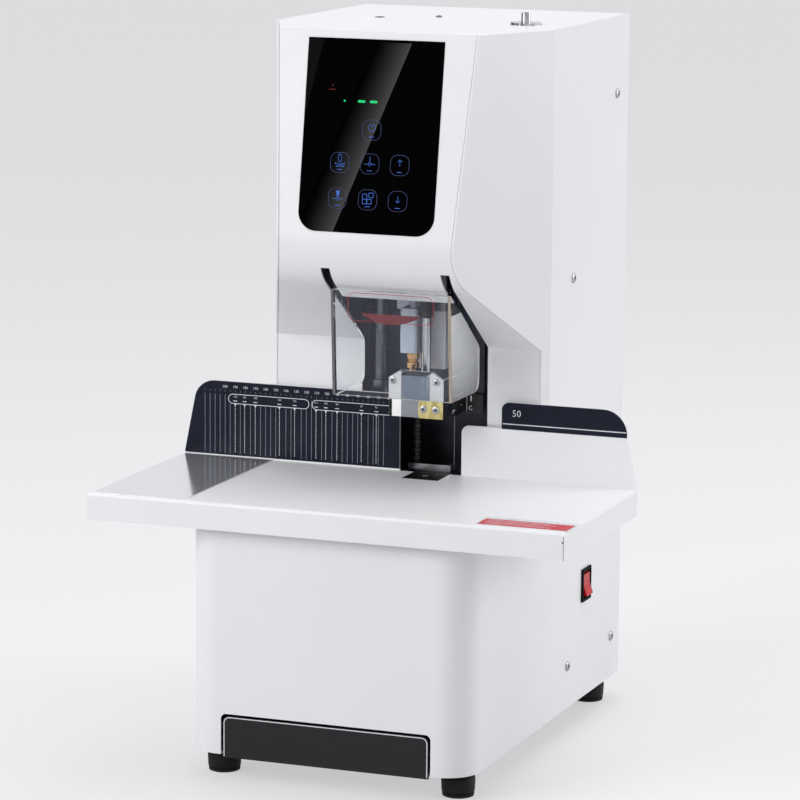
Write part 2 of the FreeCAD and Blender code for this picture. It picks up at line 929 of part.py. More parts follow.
def control_panel():
    """Black glass touch panel and the circuit board behind it."""
    corners = panel_outline(none)
    glass = plate("panel_glass", "XZ", corners, (none, size.panel_wall),
                  [(size.panel_corner, corners[:2])])
    on_front(glass, none, size.panel_wall - size.panel_proud, none)
    keep(glass, "panel_glass")
    board = plate("panel_board_sheet", "XZ", panel_outline(size.board_margin),
                  (none, size.board_wall))
    depth = size.panel_wall - size.panel_proud + size.board_gap
    on_front(board, none, depth + size.board_wall, none)
    half = size.panel_width / 2 - size.board_margin * 2
    low = size.panel_margin + size.panel_length - size.board_rise
    high = size.panel_margin + size.board_margin * 2
    spacers = []
    for index, (x, down) in enumerate(((-half, low), (half, low), (half, high), (-half, high))):
        spacer = rod(f"board_spacer_{index}", (none, none, none), size.board_gap,
                     size.spacer_radius)
        spacers.append(on_front(spacer, x, size.panel_wall - size.panel_proud, down, "90 deg"))
    return keep(fuse("panel_board", [board] + spacers), "panel_board")


def top_cover():
    """Flat lid of the head, with a hole for the tube inlet."""
    inset = size.sheet_wall + size.seam
    front = top_front + size.sheet_wall * front_cosine + size.seam * 2
    turn = inset * (facet_stretch - 1) / size.facet_slope
    half = cabinet_half - inset
    front_half = facet_half(front) - inset * facet_stretch
    behind = back_face - size.sheet_wall - size.seam
    corners = [(-half, behind), (-half, crease - turn), (-front_half, front),
               (front_half, front), (half, crease - turn), (half, behind)]
    span = (size.cover_height - size.sheet_wall, size.cover_height)
    lid = plate("lid_sheet", "XY", corners, span)
    low = size.cover_height - size.overrun
    inlet = rod("lid_inlet_hole", (size.inlet_x, fence_face + size.inlet_setback, low),
                size.overrun * 2, size.inlet_radius)
    cap = rod("lid_cap_hole", (size.cap_x, fence_face + size.cap_setback, low),
              size.overrun * 2, size.screw_radius)
    screw = rod("lid_screw_hole",
                (size.top_screw_x, fence_face + size.top_screw_setback, low),
                size.overrun * 2, size.screw_radius)
    return keep(cut("top_cover", lid, [inlet, cap, screw]), "top_cover")


def top_fittings():
    """Round cap with its screw, and one small screw, on the lid."""
    spot = (size.cap_x, fence_face + size.cap_setback)
    cap = rod("cap_disc", (*spot, size.cover_height), size.cap_wall, size.cap_radius)
    head = rod("cap_screw_head", (*spot, size.cover_height + size.cap_wall), size.cap_wall,
               size.cap_screw_radius)
    shank = rod("cap_screw_shank", (*spot, size.cover_height - size.screw_length),
                size.screw_length, size.screw_radius)
    capped = fuse("cap_with_screw", [cap, head, shank])
    other = (size.top_screw_x, fence_face + size.top_screw_setback)
    small_head = rod("small_screw_head", (*other, size.cover_height), size.top_screw_head,
                     size.top_screw_radius)
    small_shank = rod("small_screw_shank", (*other, size.cover_height - size.screw_length),
                      size.screw_length, size.screw_radius)
    small = fuse("small_screw", [small_head, small_shank])
    return keep(group("top_fittings", [capped, small]), "top_fittings")


def rear_cover():
    """Back panel with two banks of air vents and the power inlet's window."""
    half = cabinet_half - size.sheet_wall - size.seam
    panel = block("rear_sheet", (-half, half), (back_face - size.sheet_wall, back_face),
                  (size.foot_height, size.cover_height))
    deep = (back_face - size.overrun, back_face + size.overrun)
    tools = [block("inlet_window",
                   (size.power_inlet_x - size.power_inlet_width / 2,
                    size.power_inlet_x + size.power_inlet_width / 2), deep,
                   (size.power_inlet_height - size.power_inlet_tall / 2,
                    size.power_inlet_height + size.power_inlet_tall / 2))]
    for side, sign in (("left", -1), ("right", 1)):
        middle = size.vent_spread / 2 * sign
        for row in range(VENT_ROWS):
            low = size.vent_low + size.vent_pitch * row
            tools.append(block(f"vent_{side}_{row}",
                               (middle - size.vent_length / 2, middle + size.vent_length / 2),
                               deep, (low, low + size.vent_tall)))
    return keep(cut("rear_cover", panel, tools), "rear_cover")


def power_inlet():
    """Three-blade power inlet, flush with the back panel."""
    middle = size.power_inlet_x
    height = size.power_inlet_height
    half = size.power_inlet_width / 2 - size.seam / 2
    inlet_half = size.power_inlet_tall / 2 - size.seam / 2
    inner = back_face - size.power_inlet_depth
    shell = block("inlet_body", (middle - half, middle + half), (inner, back_face),
                  (height - inlet_half, height + inlet_half))
    rim = block("inlet_rim",
                (middle - half - size.power_inlet_rim, middle + half + size.power_inlet_rim),
                (back_face - size.sheet_wall - size.power_inlet_wall,
                 back_face - size.sheet_wall),
                (height - inlet_half - size.power_inlet_rim,
                 height + inlet_half + size.power_inlet_rim))
    well = block("inlet_well",
                 (middle - half + size.power_inlet_wall, middle + half - size.power_inlet_wall),
                 (inner + size.power_inlet_wall, back_face + size.overrun),
                 (height - inlet_half + size.power_inlet_wall,
                  height + inlet_half - size.power_inlet_wall))
    hollow = cut("inlet_hollow", fuse("inlet_outer", [shell, rim]), [well])
    blades = []
    for index in (-1, 0, 1):
        x = middle + size.blade_spacing * index
        z = height - size.blade_tall / 2
        blades.append(block(f"inlet_blade_{index + 1}",
                            (x - size.blade_wall / 2, x + size.blade_wall / 2),
                            (inner, back_face - size.power_inlet_wall),
                            (z, z + size.blade_tall)))
    return keep(fuse("power_inlet", [hollow] + blades), "power_inlet")


def table_solid(name, inset, low, behind):
    """Give a table-shaped block with rounded top edges, drawn in by an inset."""
    half = size.table_width / 2 - inset
    front = table_front + inset
    top = size.table_height - inset
    corners = [(-half, front), (half, front), (half, behind), (-half, behind)]
    body = plate(name, "XY", corners, (low, top))
    doc.recompute()
    depth = worth_of(top - low)
    rear = worth_of(behind)

    def is_bend(edge):
        ends = [vertex.Point for vertex in edge.Vertexes]
        on_top = all(abs(end.z - depth) < size.seam.worth for end in ends)
        return on_top and not all(abs(end.y - rear) < size.seam.worth for end in ends)

    round_edges(body, name + "_bends", size.table_bend - inset, is_bend)
    return body


def worktable():
    """Folded worktable with a skirt on three sides and a notch for the anvil."""
    low = size.table_height - size.skirt_height
    skin = table_solid("table_skin", none, low, fence_face)
    hollow = table_solid("table_hollow", size.sheet_wall, low - size.overrun,
                         fence_face + size.overrun)
    notch = block("table_notch", (size.notch_left, size.notch_left + size.notch_width),
                  (fence_face - size.notch_depth, fence_face + size.overrun),
                  (low, size.table_height + size.overrun))
    return keep(cut("worktable", skin, [hollow, notch]), "worktable")


def wear_plate():
    """Polished plate on the left of the table."""
    front = table_front + size.wear_front_margin
    left = size.wear_inset - size.table_width / 2
    right = left + size.wear_width
    free_corner = (right, front)
    corners = [(left, front), free_corner, (right, fence_face - size.seam),
               (left, fence_face - size.seam)]
    span = (size.table_height, size.table_height + size.wear_wall)
    return keep(plate("wear_plate", "XY", corners, span, [(size.wear_corner, [free_corner])]),
                "wear_plate")


def fence_span():
    """Give the front and back of the fences."""
    return (fence_face, fence_face + size.fence_wall)


def left_fence():
    """Left fence behind the table's rear edge, and the ruler film on its face."""
    top = size.table_height + size.left_fence_rise
    end = size.left_fence_inset - size.table_width / 2
    low = size.table_height - size.skirt_height
    wing = -cabinet_half - size.running_gap
    slant = size.left_fence_slant
    peak = (end + slant, top)
    corners = [
        (end, low), (wing, low), (wing, table_under), (size.left_fence_right, table_under),
        (size.left_fence_right, top), peak, (end, size.table_height),
    ]
    rounds = [(size.left_fence_corner, [peak])]
    keep(plate("left_fence", "XZ", corners, fence_span(), rounds), "left_fence")
    margin = size.seam
    lift = size.print_lift
    film_peak = (end + slant + margin, top - margin)
    film = [
        (end + slant * lift / size.left_fence_rise + margin, size.table_height + lift),
        (size.left_fence_right - margin, size.table_height + lift),
        (size.left_fence_right - margin, top - margin), film_peak,
    ]
    rounds = [(size.left_fence_corner, [film_peak])]
    keep(plate("ruler_plate", "XZ", film, film_span(), rounds), "ruler_plate")


def film_span():
    """Give the front and back of the printed films on the fences."""
    return (fence_face - size.print_wall, fence_face)


def right_fence():
    """Right fence with its raised end, and the limit film on that end."""
    low_top = size.table_height + size.right_fence_low
    top = size.table_height + size.right_fence_rise
    end = size.table_width / 2 - size.right_fence_inset
    low = size.table_height - size.skirt_height
    wing = cabinet_half + size.running_gap
    shoulder = end - size.right_fence_slant
    outer_peak = (shoulder, top)
    step_peak = (size.right_fence_step, top)
    inner_peak = (size.right_fence_left, low_top)
    corners = [
        (size.right_fence_left, table_under), (wing, table_under), (wing, low), (end, low),
        (end, size.table_height), (shoulder, low_top), outer_peak, step_peak,
        (size.right_fence_step, low_top), inner_peak,
    ]
    rounds = [(size.right_fence_corner, [step_peak, inner_peak]),
              (size.right_fence_curve, [outer_peak])]
    keep(plate("right_fence", "XZ", corners, fence_span(), rounds), "right_fence")
    margin = size.seam
    foot = top - size.limit_label_drop
    film_outer = (shoulder - margin, top - margin)
    film_inner = (size.right_fence_step + margin, top - margin)
    film = [(size.right_fence_step + margin, foot), (shoulder - margin, foot), film_outer,
            film_inner]
    rounds = [(size.right_fence_corner, [film_inner]), (size.right_fence_curve, [film_outer])]
    keep(plate("limit_plate", "XZ", film, film_span(), rounds), "limit_plate")


def throat_liner():
    """Dark folded liner of the throat: floor, back wall and two side walls."""
    left = size.axis_x - size.liner_half
    right = size.axis_x + size.liner_half
    wall = size.sheet_wall
    front = column_face + wall
    low = table_under - wall
    skin = block("liner_skin", (left, right), (front, liner_back + wall), (low, level(size.liner_top)))
    hollow = block("liner_hollow", (left + wall, right - wall),
                   (front - size.overrun, liner_back),
                   (table_under, level(size.liner_top) + size.overrun))
    holes = []
    for index, x in enumerate(shaft_places()):
        holes.append(rod(f"liner_shaft_hole_{index}", (x, shaft_y, low - size.overrun),
                         size.overrun * 2 + wall, size.shaft_radius + size.running_gap))
    return keep(cut("throat_liner", skin, [hollow] + holes), "throat_liner")


def shaft_places():
    """Give the X of the two guide shafts."""
    return (size.axis_x - size.shaft_spacing / 2, size.axis_x + size.shaft_spacing / 2)


def throat_fittings():
    """Bright bar, stop rod under the carriage, and paper pin in the throat."""
    bar = block("throat_bar", (size.bar_left, size.bar_left + size.bar_width),
                (fence_face + size.bar_setback, fence_face + size.bar_setback + size.bar_deep),
                (table_under, table_under + size.bar_tall))
    keep(bar, "throat_bar")
    low_carriage = carriage_low - travel - size.running_gap
    keep(rod("stop_rod", (size.stop_rod_x, fence_face + size.stop_rod_setback, table_under),
             low_carriage - table_under, size.stop_rod_radius), "stop_rod")
    pin_y = fence_face + size.pin_setback
    pin = rod("pin_stem", (size.pin_x, pin_y, table_under), size.pin_height, size.pin_radius)
    tip = rod("pin_tip", (size.pin_x, pin_y, table_under + size.pin_height), size.pin_tip,
              size.pin_tip_radius)
    keep(fuse("paper_pin", [pin, tip]), "paper_pin")


def cast_frame():
    """Cast frame: foot, column, lower arm under the table and upper arm over the carriage."""
    half = size.frame_column_width / 2
    column_x = (size.axis_x - half, size.axis_x + half)
    column = block("frame_column", column_x, (frame_front, frame_back), (base_top, frame_top))
    foot_half = size.frame_foot_width / 2
    foot = block("frame_foot_pad", (size.axis_x - foot_half, size.axis_x + foot_half),
                 (frame_front, frame_foot_back), (base_top, base_top + size.frame_foot))
    wide = (size.axis_x - size.frame_arm_width / 2, size.axis_x + size.frame_arm_width / 2)
    lug_y = (shaft_y - size.frame_lug_depth / 2, shaft_y + size.frame_lug_depth / 2)
    upper = (frame_arm_low, frame_top)
    lower = (lower_arm_top - size.lower_arm, lower_arm_top)
    arm_back = motor_y + motor_radius + size.motor_arm_margin
    shapes = [
        column, foot,
        block("upper_lug", wide, lug_y, upper),
        block("upper_neck", column_x, (lug_y[0], arm_back), upper),
        block("lower_lug", wide, lug_y, lower),
        block("lower_tongue", column_x, (axis_y - size.lower_arm_reach, frame_front), lower),
    ]
    low = frame_arm_low - size.overrun
    through = frame_top - frame_arm_low + size.overrun * 2
    tools = [
        rod("screw_hole", (size.axis_x, shaft_y, low), through,
            size.lead_screw_radius + size.running_gap),
        rod("upper_bearing_seat", (size.axis_x, shaft_y, frame_top - size.bearing_wall),
            size.bearing_wall + size.overrun, size.bearing_radius),
        rod("lower_bearing_seat", (size.axis_x, shaft_y, low),
            size.bearing_wall + size.overrun, size.bearing_radius),
        rod("motor_shaft_hole", (size.axis_x, motor_y, low), through,
            size.motor_shaft_radius + size.running_gap),
    ]
    return keep(cut("cast_frame", fuse("frame_casting", shapes), tools), "cast_frame")


def guides():
    """Guide shafts between the frame's arms, each with its stop collar."""
    low = lower_arm_top
    length = frame_arm_low - low
    collar_low = level(size.collar_low)
    shafts = []
    for index, x in enumerate(shaft_places()):
        stem = rod(f"shaft_stem_{index}", (x, shaft_y, low), length, size.shaft_radius)
        collar = rod(f"collar_{index}", (x, shaft_y, collar_low), tall(size.collar_length),
                     size.collar_radius)
        shafts.append(fuse(f"shaft_{index}", [stem, collar]))
    keep(group("guide_shafts", shafts), "guide_shafts")


def drive():
    """Lead screw with its pulley and bearings, press motor, its pulley and the belt."""
    spot = (size.axis_x, shaft_y)
    motor_spot = (size.axis_x, motor_y)
    pulley_low = frame_top + size.pulley_clear
    pulley_top = pulley_low + size.pulley_wall
    screw_low = level(size.lead_screw_low)
    stem = rod("screw_stem", (*spot, screw_low), pulley_top - screw_low, size.lead_screw_radius)
    wheel = rod("screw_wheel", (*spot, pulley_low), size.pulley_wall, size.screw_pulley_radius)
    keep(fuse("lead_screw", [stem, wheel]), "lead_screw")
    bore = size.lead_screw_radius + size.fit_gap
    keep(group("screw_bearings", [
        tube("upper_bearing", (*spot, frame_top - size.bearing_wall), size.bearing_wall,
             size.bearing_radius, bore),
        tube("lower_bearing", (*spot, frame_arm_low), size.bearing_wall, size.bearing_radius,
             bore),
    ]), "screw_bearings")
    motor_length = tall(size.press_motor_length)
    keep(rod("press_motor", (*motor_spot, frame_arm_low - motor_length), motor_length,
             motor_radius), "press_motor")
    shaft_low = frame_arm_low + size.running_gap
    shaft = rod("motor_shaft", (*motor_spot, shaft_low), pulley_top - shaft_low,
                size.motor_shaft_radius)
    small_wheel = rod("motor_wheel", (*motor_spot, pulley_low), size.pulley_wall,
                      size.motor_pulley_radius)
    keep(fuse("motor_pulley", [shaft, small_wheel]), "motor_pulley")
    belt_low = pulley_low + (size.pulley_wall - size.belt_width) / 2
    outer = belt_hull("belt_outer", belt_low, size.running_gap + size.belt_wall)
    inner = belt_hull("belt_inner", belt_low, size.running_gap)
    keep(cut("press_belt", outer, [inner]), "press_belt")


def belt_hull(name, low, grow):
    """Shape that runs round both pulleys, grown by a distance."""
    large = size.screw_pulley_radius + grow
    small = size.motor_pulley_radius + grow
    sine = (large - small) / motor_setback
    cosine = (one - sine * sine).root()
    corners = [
        (size.axis_x - large * cosine, shaft_y + large * sine),
        (size.axis_x + large * cosine, shaft_y + large * sine),
        (size.axis_x + small * cosine, motor_y + small * sine),
        (size.axis_x - small * cosine, motor_y + small * sine),
    ]
    web = plate(name + "_web", "XY", corners, (low, low + size.belt_width))
    wheels = [
        rod(name + "_large", (size.axis_x, shaft_y, low), size.belt_width, large),
        rod(name + "_small", (size.axis_x, motor_y, low), size.belt_width, small),
    ]
    return fuse(name, [web] + wheels)


def carriage():
    """Press carriage on the two shafts, with its rail, bushes, nut and foot guide."""
    wide = (size.axis_x - size.frame_arm_width / 2, size.axis_x + size.frame_arm_width / 2)
    deep = (carriage_front, carriage_front + size.carriage_deep)
    high = carriage_top - carriage_low
    beam = block("carriage_beam", wide, deep, (carriage_low, carriage_top))
    low = carriage_low - size.overrun
    through = high + size.overrun * 2
    tools = [rod(f"bush_seat_{index}", (x, shaft_y, low), through, size.bush_radius)
             for index, x in enumerate(shaft_places())]
    tools.append(rod("nut_seat", (size.axis_x, shaft_y, low), through, size.nut_radius))
    rail = block("station_rail", (size.rail_left, size.rail_left + size.rail_width),
                 (carriage_front - size.rail_deep, carriage_front), rail_span())
    keep(cut("press_carriage", fuse("carriage_blank", [beam, rail]), tools), "press_carriage")
    bushes = [tube(f"bush_{index}", (x, shaft_y, carriage_low), high, size.bush_radius,
                   size.shaft_radius + size.fit_gap)
              for index, x in enumerate(shaft_places())]
    keep(group("carriage_bushes", bushes), "carriage_bushes")
    barrel = rod("nut_barrel", (size.axis_x, shaft_y, carriage_low), high, size.nut_radius)
    flange = rod("nut_flange", (size.axis_x, shaft_y, carriage_top), size.nut_flange,
                 size.nut_flange_radius)
    bore = rod("nut_bore", (size.axis_x, shaft_y, low), through + size.nut_flange,
               size.lead_screw_radius + size.fit_gap)
    keep(cut("carriage_nut", fuse("nut_blank", [barrel, flange]), [bore]), "carriage_nut")
    gap = size.running_gap
    bar_x = (size.foot_bar_left - gap, size.foot_bar_left + size.foot_bar_width + gap)
    bar_y = (foot_bar_front() - gap, foot_bar_front() + size.foot_bar_wall + gap)
    sleeve = block("guide_sleeve", (bar_x[0] - size.guide_wall, bar_x[1] + size.guide_wall),
                   (bar_y[0] - size.guide_wall, carriage_front),
                   (level(size.guide_low), level(size.guide_low + size.guide_tall)))
    way = block("guide_way", bar_x, bar_y, (low, carriage_top + size.overrun))
    keep(cut("foot_guide", sleeve, [way]), "foot_guide")


def rail_span():
    """Give the bottom and top of the station's rail."""
    return (level(size.rail_low), level(size.rail_low + size.rail_tall))


def foot_bar_front():
    """Give the front of the press foot's bar."""
    return fence_face + size.foot_bar_setback


def station():
    """Station plate on its rail, with its rivet cylinder, and the units that it carries."""
    gap = size.running_gap
    left = size.station_left
    x = (left, left + size.station_width)
    back = carriage_front - size.rail_deep - gap
    front = back - size.station_wall
    sheet_piece = block("station_sheet", x, (front, back),
                        (station_low, level(size.station_low + size.station_tall)))
    jaw_y = (back, carriage_front - gap)
    rail_low, rail_top = rail_span()
    jaw_high = tall(size.jaw_tall)
    cylinder_x = left + size.cylinder_radius
    cylinder_high = tall(size.cylinder_tall)
    arm_low = cylinder_low + tall(size.cylinder_arm_rise)
    shapes = [
        sheet_piece,
        block("lower_jaw", x, jaw_y, (rail_low - gap - jaw_high, rail_low - gap)),
        block("upper_jaw", x, jaw_y, (rail_top + gap, rail_top + gap + jaw_high)),
        rod("rivet_cylinder", (cylinder_x, axis_y, cylinder_low), cylinder_high,
            size.cylinder_radius),
        block("cylinder_arm", (left, left + size.cylinder_radius * 2), (axis_y, front),
              (arm_low, arm_low + tall(size.cylinder_arm_tall))),
    ]
    ram_way = rod("ram_way", (cylinder_x, axis_y, cylinder_low), cylinder_high - size.cylinder_cap,
                  size.rivet_rod_radius + size.fit_gap)
    keep(cut("station_plate", fuse("station_blank", shapes), [ram_way]), "station_plate")
    keep(block("tool_block", (size.block_left, size.block_left + size.block_width),
               (front, front + size.block_deep), (level(size.block_low), station_low)),
         "tool_block")
    rivet_slide(front, cylinder_x, cylinder_low + cylinder_high - size.cylinder_cap - gap)
    spindle_unit(front)


def rivet_slide(front, ram_x, ram_top):
    """Slide in front of the tool block: nose, stem and yoke, with the ram beside them."""
    nose_x = (size.nose_block_left, size.nose_block_left + size.nose_block_width)
    nose_y = (front - size.nose_block_deep, front - size.running_gap)
    corners = [(nose_x[0], nose_y[0]), (nose_x[1], nose_y[0]), (nose_x[1], nose_y[1]),
               (nose_x[0], nose_y[1])]
    top = level(size.nose_block_low + size.nose_block_tall)
    nose = plate("rivet_nose", "XY", corners, (nose_block_low, top),
                 [(size.nose_block_corner, corners[:2])])
    yoke_low = rivet_rod_top - tall(size.yoke_tall)
    stem = rod("rivet_stem", (rivet_x, axis_y, top), yoke_low - top, size.rivet_rod_radius)
    yoke = block("rivet_yoke", (size.station_left, size.station_left + size.yoke_width),
                 (axis_y - size.yoke_deep / 2, axis_y + size.yoke_deep / 2),
                 (yoke_low, rivet_rod_top))
    ram = rod("rivet_ram", (ram_x, axis_y, rivet_rod_top), ram_top - rivet_rod_top,
              size.rivet_rod_radius)
    keep(fuse("rivet_slide", [nose, stem, yoke, ram]), "rivet_slide")


def spindle_unit(front):
    """Spindle housing with its bored bearing, and the drill motor over it."""
    half = size.housing_width / 2
    high = housing_top - housing_low
    shell = block("housing_shell", (size.axis_x - half, size.axis_x + half),
                  (front - size.housing_deep, front), (housing_low, housing_top))
    bore = rod("housing_bore", (size.axis_x, axis_y, housing_low - size.overrun),
               high + size.overrun * 2, size.spindle_radius + size.fit_gap)
    keep(cut("spindle_housing", shell, [bore]), "spindle_housing")
    keep(rod("drill_motor", (size.axis_x, axis_y, housing_top), tall(size.drill_motor_length),
             size.drill_motor_radius), "drill_motor")


def drill():
    """Spindle with its chuck, and the hollow bit."""
    gap = size.running_gap
    lip_top = chuck_low + size.chuck_chamfer
    collar = rod("chuck_collar", (size.axis_x, axis_y, lip_top), housing_low - gap - lip_top,
                 size.chuck_radius)
    lip = cone("chuck_lip", (size.axis_x, axis_y, chuck_low), size.chuck_chamfer,
               size.chuck_radius - size.chuck_chamfer / 2, size.chuck_radius)
    stem = rod("spindle_stem", (size.axis_x, axis_y, housing_low - gap),
               housing_top - housing_low, size.spindle_radius)
    keep(fuse("drill_chuck", [collar, lip, stem]), "drill_chuck")
    bore = size.bit_radius - size.bit_wall
    tip = level(size.bit_tip)
    body = tube("bit_body", (size.axis_x, axis_y, tip + size.bit_edge),
                chuck_low - tip - size.bit_edge, size.bit_radius, bore)
    edge = cone("bit_edge_cone", (size.axis_x, axis_y, tip), size.bit_edge,
                bore + size.bit_wall / 4, size.bit_radius)
    edge_bore = rod("bit_edge_bore", (size.axis_x, axis_y, tip - size.overrun),
                    size.bit_edge + size.overrun, bore)
    ring = cut("bit_edge_ring", edge, [edge_bore])
    keep(fuse("drill_bit", [body, ring]), "drill_bit")


def rivet_head():
    """Brass heated head under the rivet slide, in two rings and a tip."""
    upper_low = nose_block_low - size.rivet_ring_tall
    neck_low = upper_low - size.rivet_ring_groove
    ring_low = neck_low - size.rivet_ring_tall
    shapes = [
        rod("head_ring_upper", (rivet_x, axis_y, upper_low), size.rivet_ring_tall,
            size.rivet_ring_radius),
        rod("head_neck", (rivet_x, axis_y, neck_low), size.rivet_ring_groove,
            size.rivet_ring_radius - size.rivet_ring_groove),
        rod("head_ring_lower", (rivet_x, axis_y, ring_low), size.rivet_ring_tall,
            size.rivet_ring_radius),
        rod("head_tip", (rivet_x, axis_y, ring_low - size.rivet_tip), size.rivet_tip,
            size.rivet_tip_radius),
    ]
    keep(fuse("rivet_head", shapes), "rivet_head")


def press_foot():
    """Clear press foot with its pad, bracket, screws, arm and guide bar."""
    left = size.foot_left
    right = left + size.foot_width
    front = axis_y - size.foot_front_reach
    back = front + size.foot_deep
    wall = size.foot_wall
    low = foot_bottom
    shield_top = level(size.shield_top)
    drop = shield_top - size.shield_chamfer_drop
    face = [
        (left, shield_low), (right, shield_low), (right, drop),
        (right - size.shield_chamfer, shield_top), (left + size.shield_chamfer, shield_top),
        (left, drop),
    ]
    front_plate = plate("shield_front", "XZ", face, (front, front + wall))
    sides = [block("shield_left", (left, left + wall), (front, back), (low, drop)),
             block("shield_right", (right - wall, right), (front, back), (low, drop))]
    window = block("shield_window",
                   (size.pad_left + size.pad_width, size.bracket_left),
                   (front, front + size.window_wall), (low, shield_low))
    keep(fuse("foot_shield", [front_plate] + sides + [window]), "foot_shield")
    pad_left = left + wall
    keep(block("foot_pad", (pad_left, size.pad_left + size.pad_width),
               (front, front + size.pad_deep), (low, shield_low - size.seam)), "foot_pad")
    free_low = (size.bracket_left, low)
    free_high = (size.bracket_left, shield_low - size.seam)
    zinc = [free_low, (right, low), (right, shield_low - size.seam), free_high]
    keep(plate("foot_bracket", "XZ", zinc, (front - size.bracket_wall, front),
               [(size.bracket_corner, [free_low, free_high])]), "foot_bracket")
    keep(group("foot_screws", foot_screw_solids(left, right, front)), "foot_screws")
    foot_arm(right, front, low)


def foot_screw_solids(left, right, front):
    """Give the four screw heads on the front of the foot."""
    radius = size.foot_screw_radius
    high = level(size.shield_top) - size.shield_chamfer_drop + size.seam - radius
    middle = (foot_bottom + shield_low) / 2 + radius
    spots = [
        ("shield_left_screw", left + size.left_screw_inset, high, front),
        ("shield_right_screw", right - size.right_screw_inset, high, front),
        ("bracket_left_screw", size.bracket_left + size.bracket_screw_inset, middle - radius,
         front - size.bracket_wall),
        ("bracket_right_screw", right - size.right_screw_inset, middle - radius,
         front - size.bracket_wall),
    ]
    return [rod(name, (x, y - size.foot_screw_head, z), size.foot_screw_head, radius, "Y")
            for name, x, z, y in spots]


def foot_arm(inner, front, low):
    """Black arm that takes the foot back through the gap, with its upright guide bar."""
    outer = inner + size.arm_wall
    bar_front = foot_bar_front()
    bend = bar_front - size.arm_wall
    bar_right = size.foot_bar_left + size.foot_bar_width
    corners = [
        (inner, front + size.pad_deep), (outer, front + size.pad_deep), (outer, bend),
        (bar_right, bend), (bar_right, bar_front), (inner, bar_front),
    ]
    angle = plate("foot_angle", "XY", corners, (low, low + tall(size.arm_tall)))
    upright = block("foot_bar", (size.foot_bar_left, bar_right),
                    (bar_front, bar_front + size.foot_bar_wall), (low, level(size.foot_bar_top)))
    keep(fuse("foot_arm", [angle, upright]), "foot_arm")


def anvil():
    """Anvil in the table notch, with its cutting pad and heated lower die."""
    half = size.post_width / 2
    gap = size.running_gap
    top = size.table_height - size.die_drop
    post_top = top - size.die_wall
    front = fence_face - size.notch_depth + gap
    post = block("post_block", (size.axis_x - half, size.axis_x + half),
                 (front, front + size.post_deep), (lower_arm_top, post_top))
    head = block("die_block", (size.notch_left + gap, size.notch_left + size.notch_width - gap),
                 (front, fence_face - gap), (post_top, top))
    pad_hole = rod("die_pad_hole", (size.axis_x, axis_y, top - size.pad_wall),
                   size.pad_wall + size.overrun, size.pad_radius)
    pin_hole = rod("die_pin_hole", (size.axis_x, axis_y, post_top - size.overrun),
                   size.die_wall + size.overrun, size.lower_die_radius)
    well = rod("post_well", (size.axis_x, axis_y, post_top - size.heater_tall),
               size.heater_tall, size.heater_radius)
    keep(cut("anvil", fuse("anvil_blank", [post, head]), [pad_hole, pin_hole, well]), "anvil")
    keep(tube("cutting_pad", (size.axis_x, axis_y, top - size.pad_wall), size.pad_wall,
              size.pad_radius, size.lower_die_radius), "cutting_pad")
    heater = rod("die_heater", (size.axis_x, axis_y, post_top - size.heater_tall),
                 size.heater_tall, size.heater_radius)
    pin = rod("die_pin", (size.axis_x, axis_y, post_top), size.die_wall, size.lower_die_radius)
    keep(fuse("lower_die", [heater, pin]), "lower_die")


def guard_pivot():
    """Give the Y and Z of the guard's pivot, the centre of the nose's round."""
    slant_rise = size.nose_height - size.throat_height
    slant_run = column_face - nose_front
    slant = slant_rise / slant_run
    slant_cosine = one / (slant * slant + 1).root()
    slant_sine = slant * slant_cosine
    turn_cosine = slant_sine * front_cosine - slant_cosine * front_sine
    half_tangent = ((one - turn_cosine) / (turn_cosine + 1)).root()
    run = size.nose_radius * half_tangent
    touch_y = nose_front + run * front_sine
    touch_z = size.nose_height + run * front_cosine
    return (touch_y + size.nose_radius * front_cosine, touch_z - size.nose_radius * front_sine)


def guard():
    """Clear U-shaped guard with two arms that turn on pins inside the head."""
    pivot_y, pivot_z = guard_pivot()
    half = size.guard_width / 2
    x = (size.guard_middle - half, size.guard_middle + half)
    wall = size.guard_wall
    top_y = fence_face - size.guard_front_top
    low_y = fence_face - size.guard_front_low
    back_y = fence_face - size.guard_back_gap
    slant = (size.nose_height - size.throat_height) / (column_face - nose_front)
    rear_top = size.throat_height + (column_face - back_y) * slant - size.guard_skin_gap * 2
    neck_y = top_y + size.guard_neck
    neck_z = size.throat_height + (column_face - neck_y) * slant - size.guard_skin_gap
    rear_low = (back_y, size.guard_low)
    rear_high = (back_y, rear_top)
    corners = [
        (low_y, size.guard_low), rear_low, rear_high,
        (neck_y, neck_z), (pivot_y + size.guard_eye, pivot_z),
        (pivot_y - size.guard_eye, pivot_z), (top_y, size.guard_top),
    ]
    blank = plate("guard_blank", "YZ", corners, x, [(size.guard_corner, [rear_low, rear_high])])
    eyes = rod("guard_eyes", (x[0], pivot_y, pivot_z), x[1] - x[0], size.guard_eye, "X")
    far = back_y + size.overrun
    high = pivot_z + size.guard_eye + size.overrun
    hollow_corners = [
        (low_y + wall, size.guard_low - size.overrun), (far, size.guard_low - size.overrun),
        (far, high), (top_y + wall, high), (top_y + wall, size.guard_top),
        (low_y + wall, size.guard_low),
    ]
    hollow = plate("guard_hollow", "YZ", hollow_corners, (x[0] + wall, x[1] - wall))
    over = block("guard_over", (x[0] + wall, x[1] - wall),
                 (top_y - size.overrun, far), (size.guard_top, high))
    bores = rod("guard_bores", (x[0] - size.overrun, pivot_y, pivot_z),
                size.guard_width + size.overrun * 2, size.hinge_pin_radius + size.fit_gap, "X")
    keep(cut("guard_shield", fuse("guard_solid", [blank, eyes]), [hollow, over, bores]),
         "guard_shield")
    guard_hinges(x, pivot_y, pivot_z)


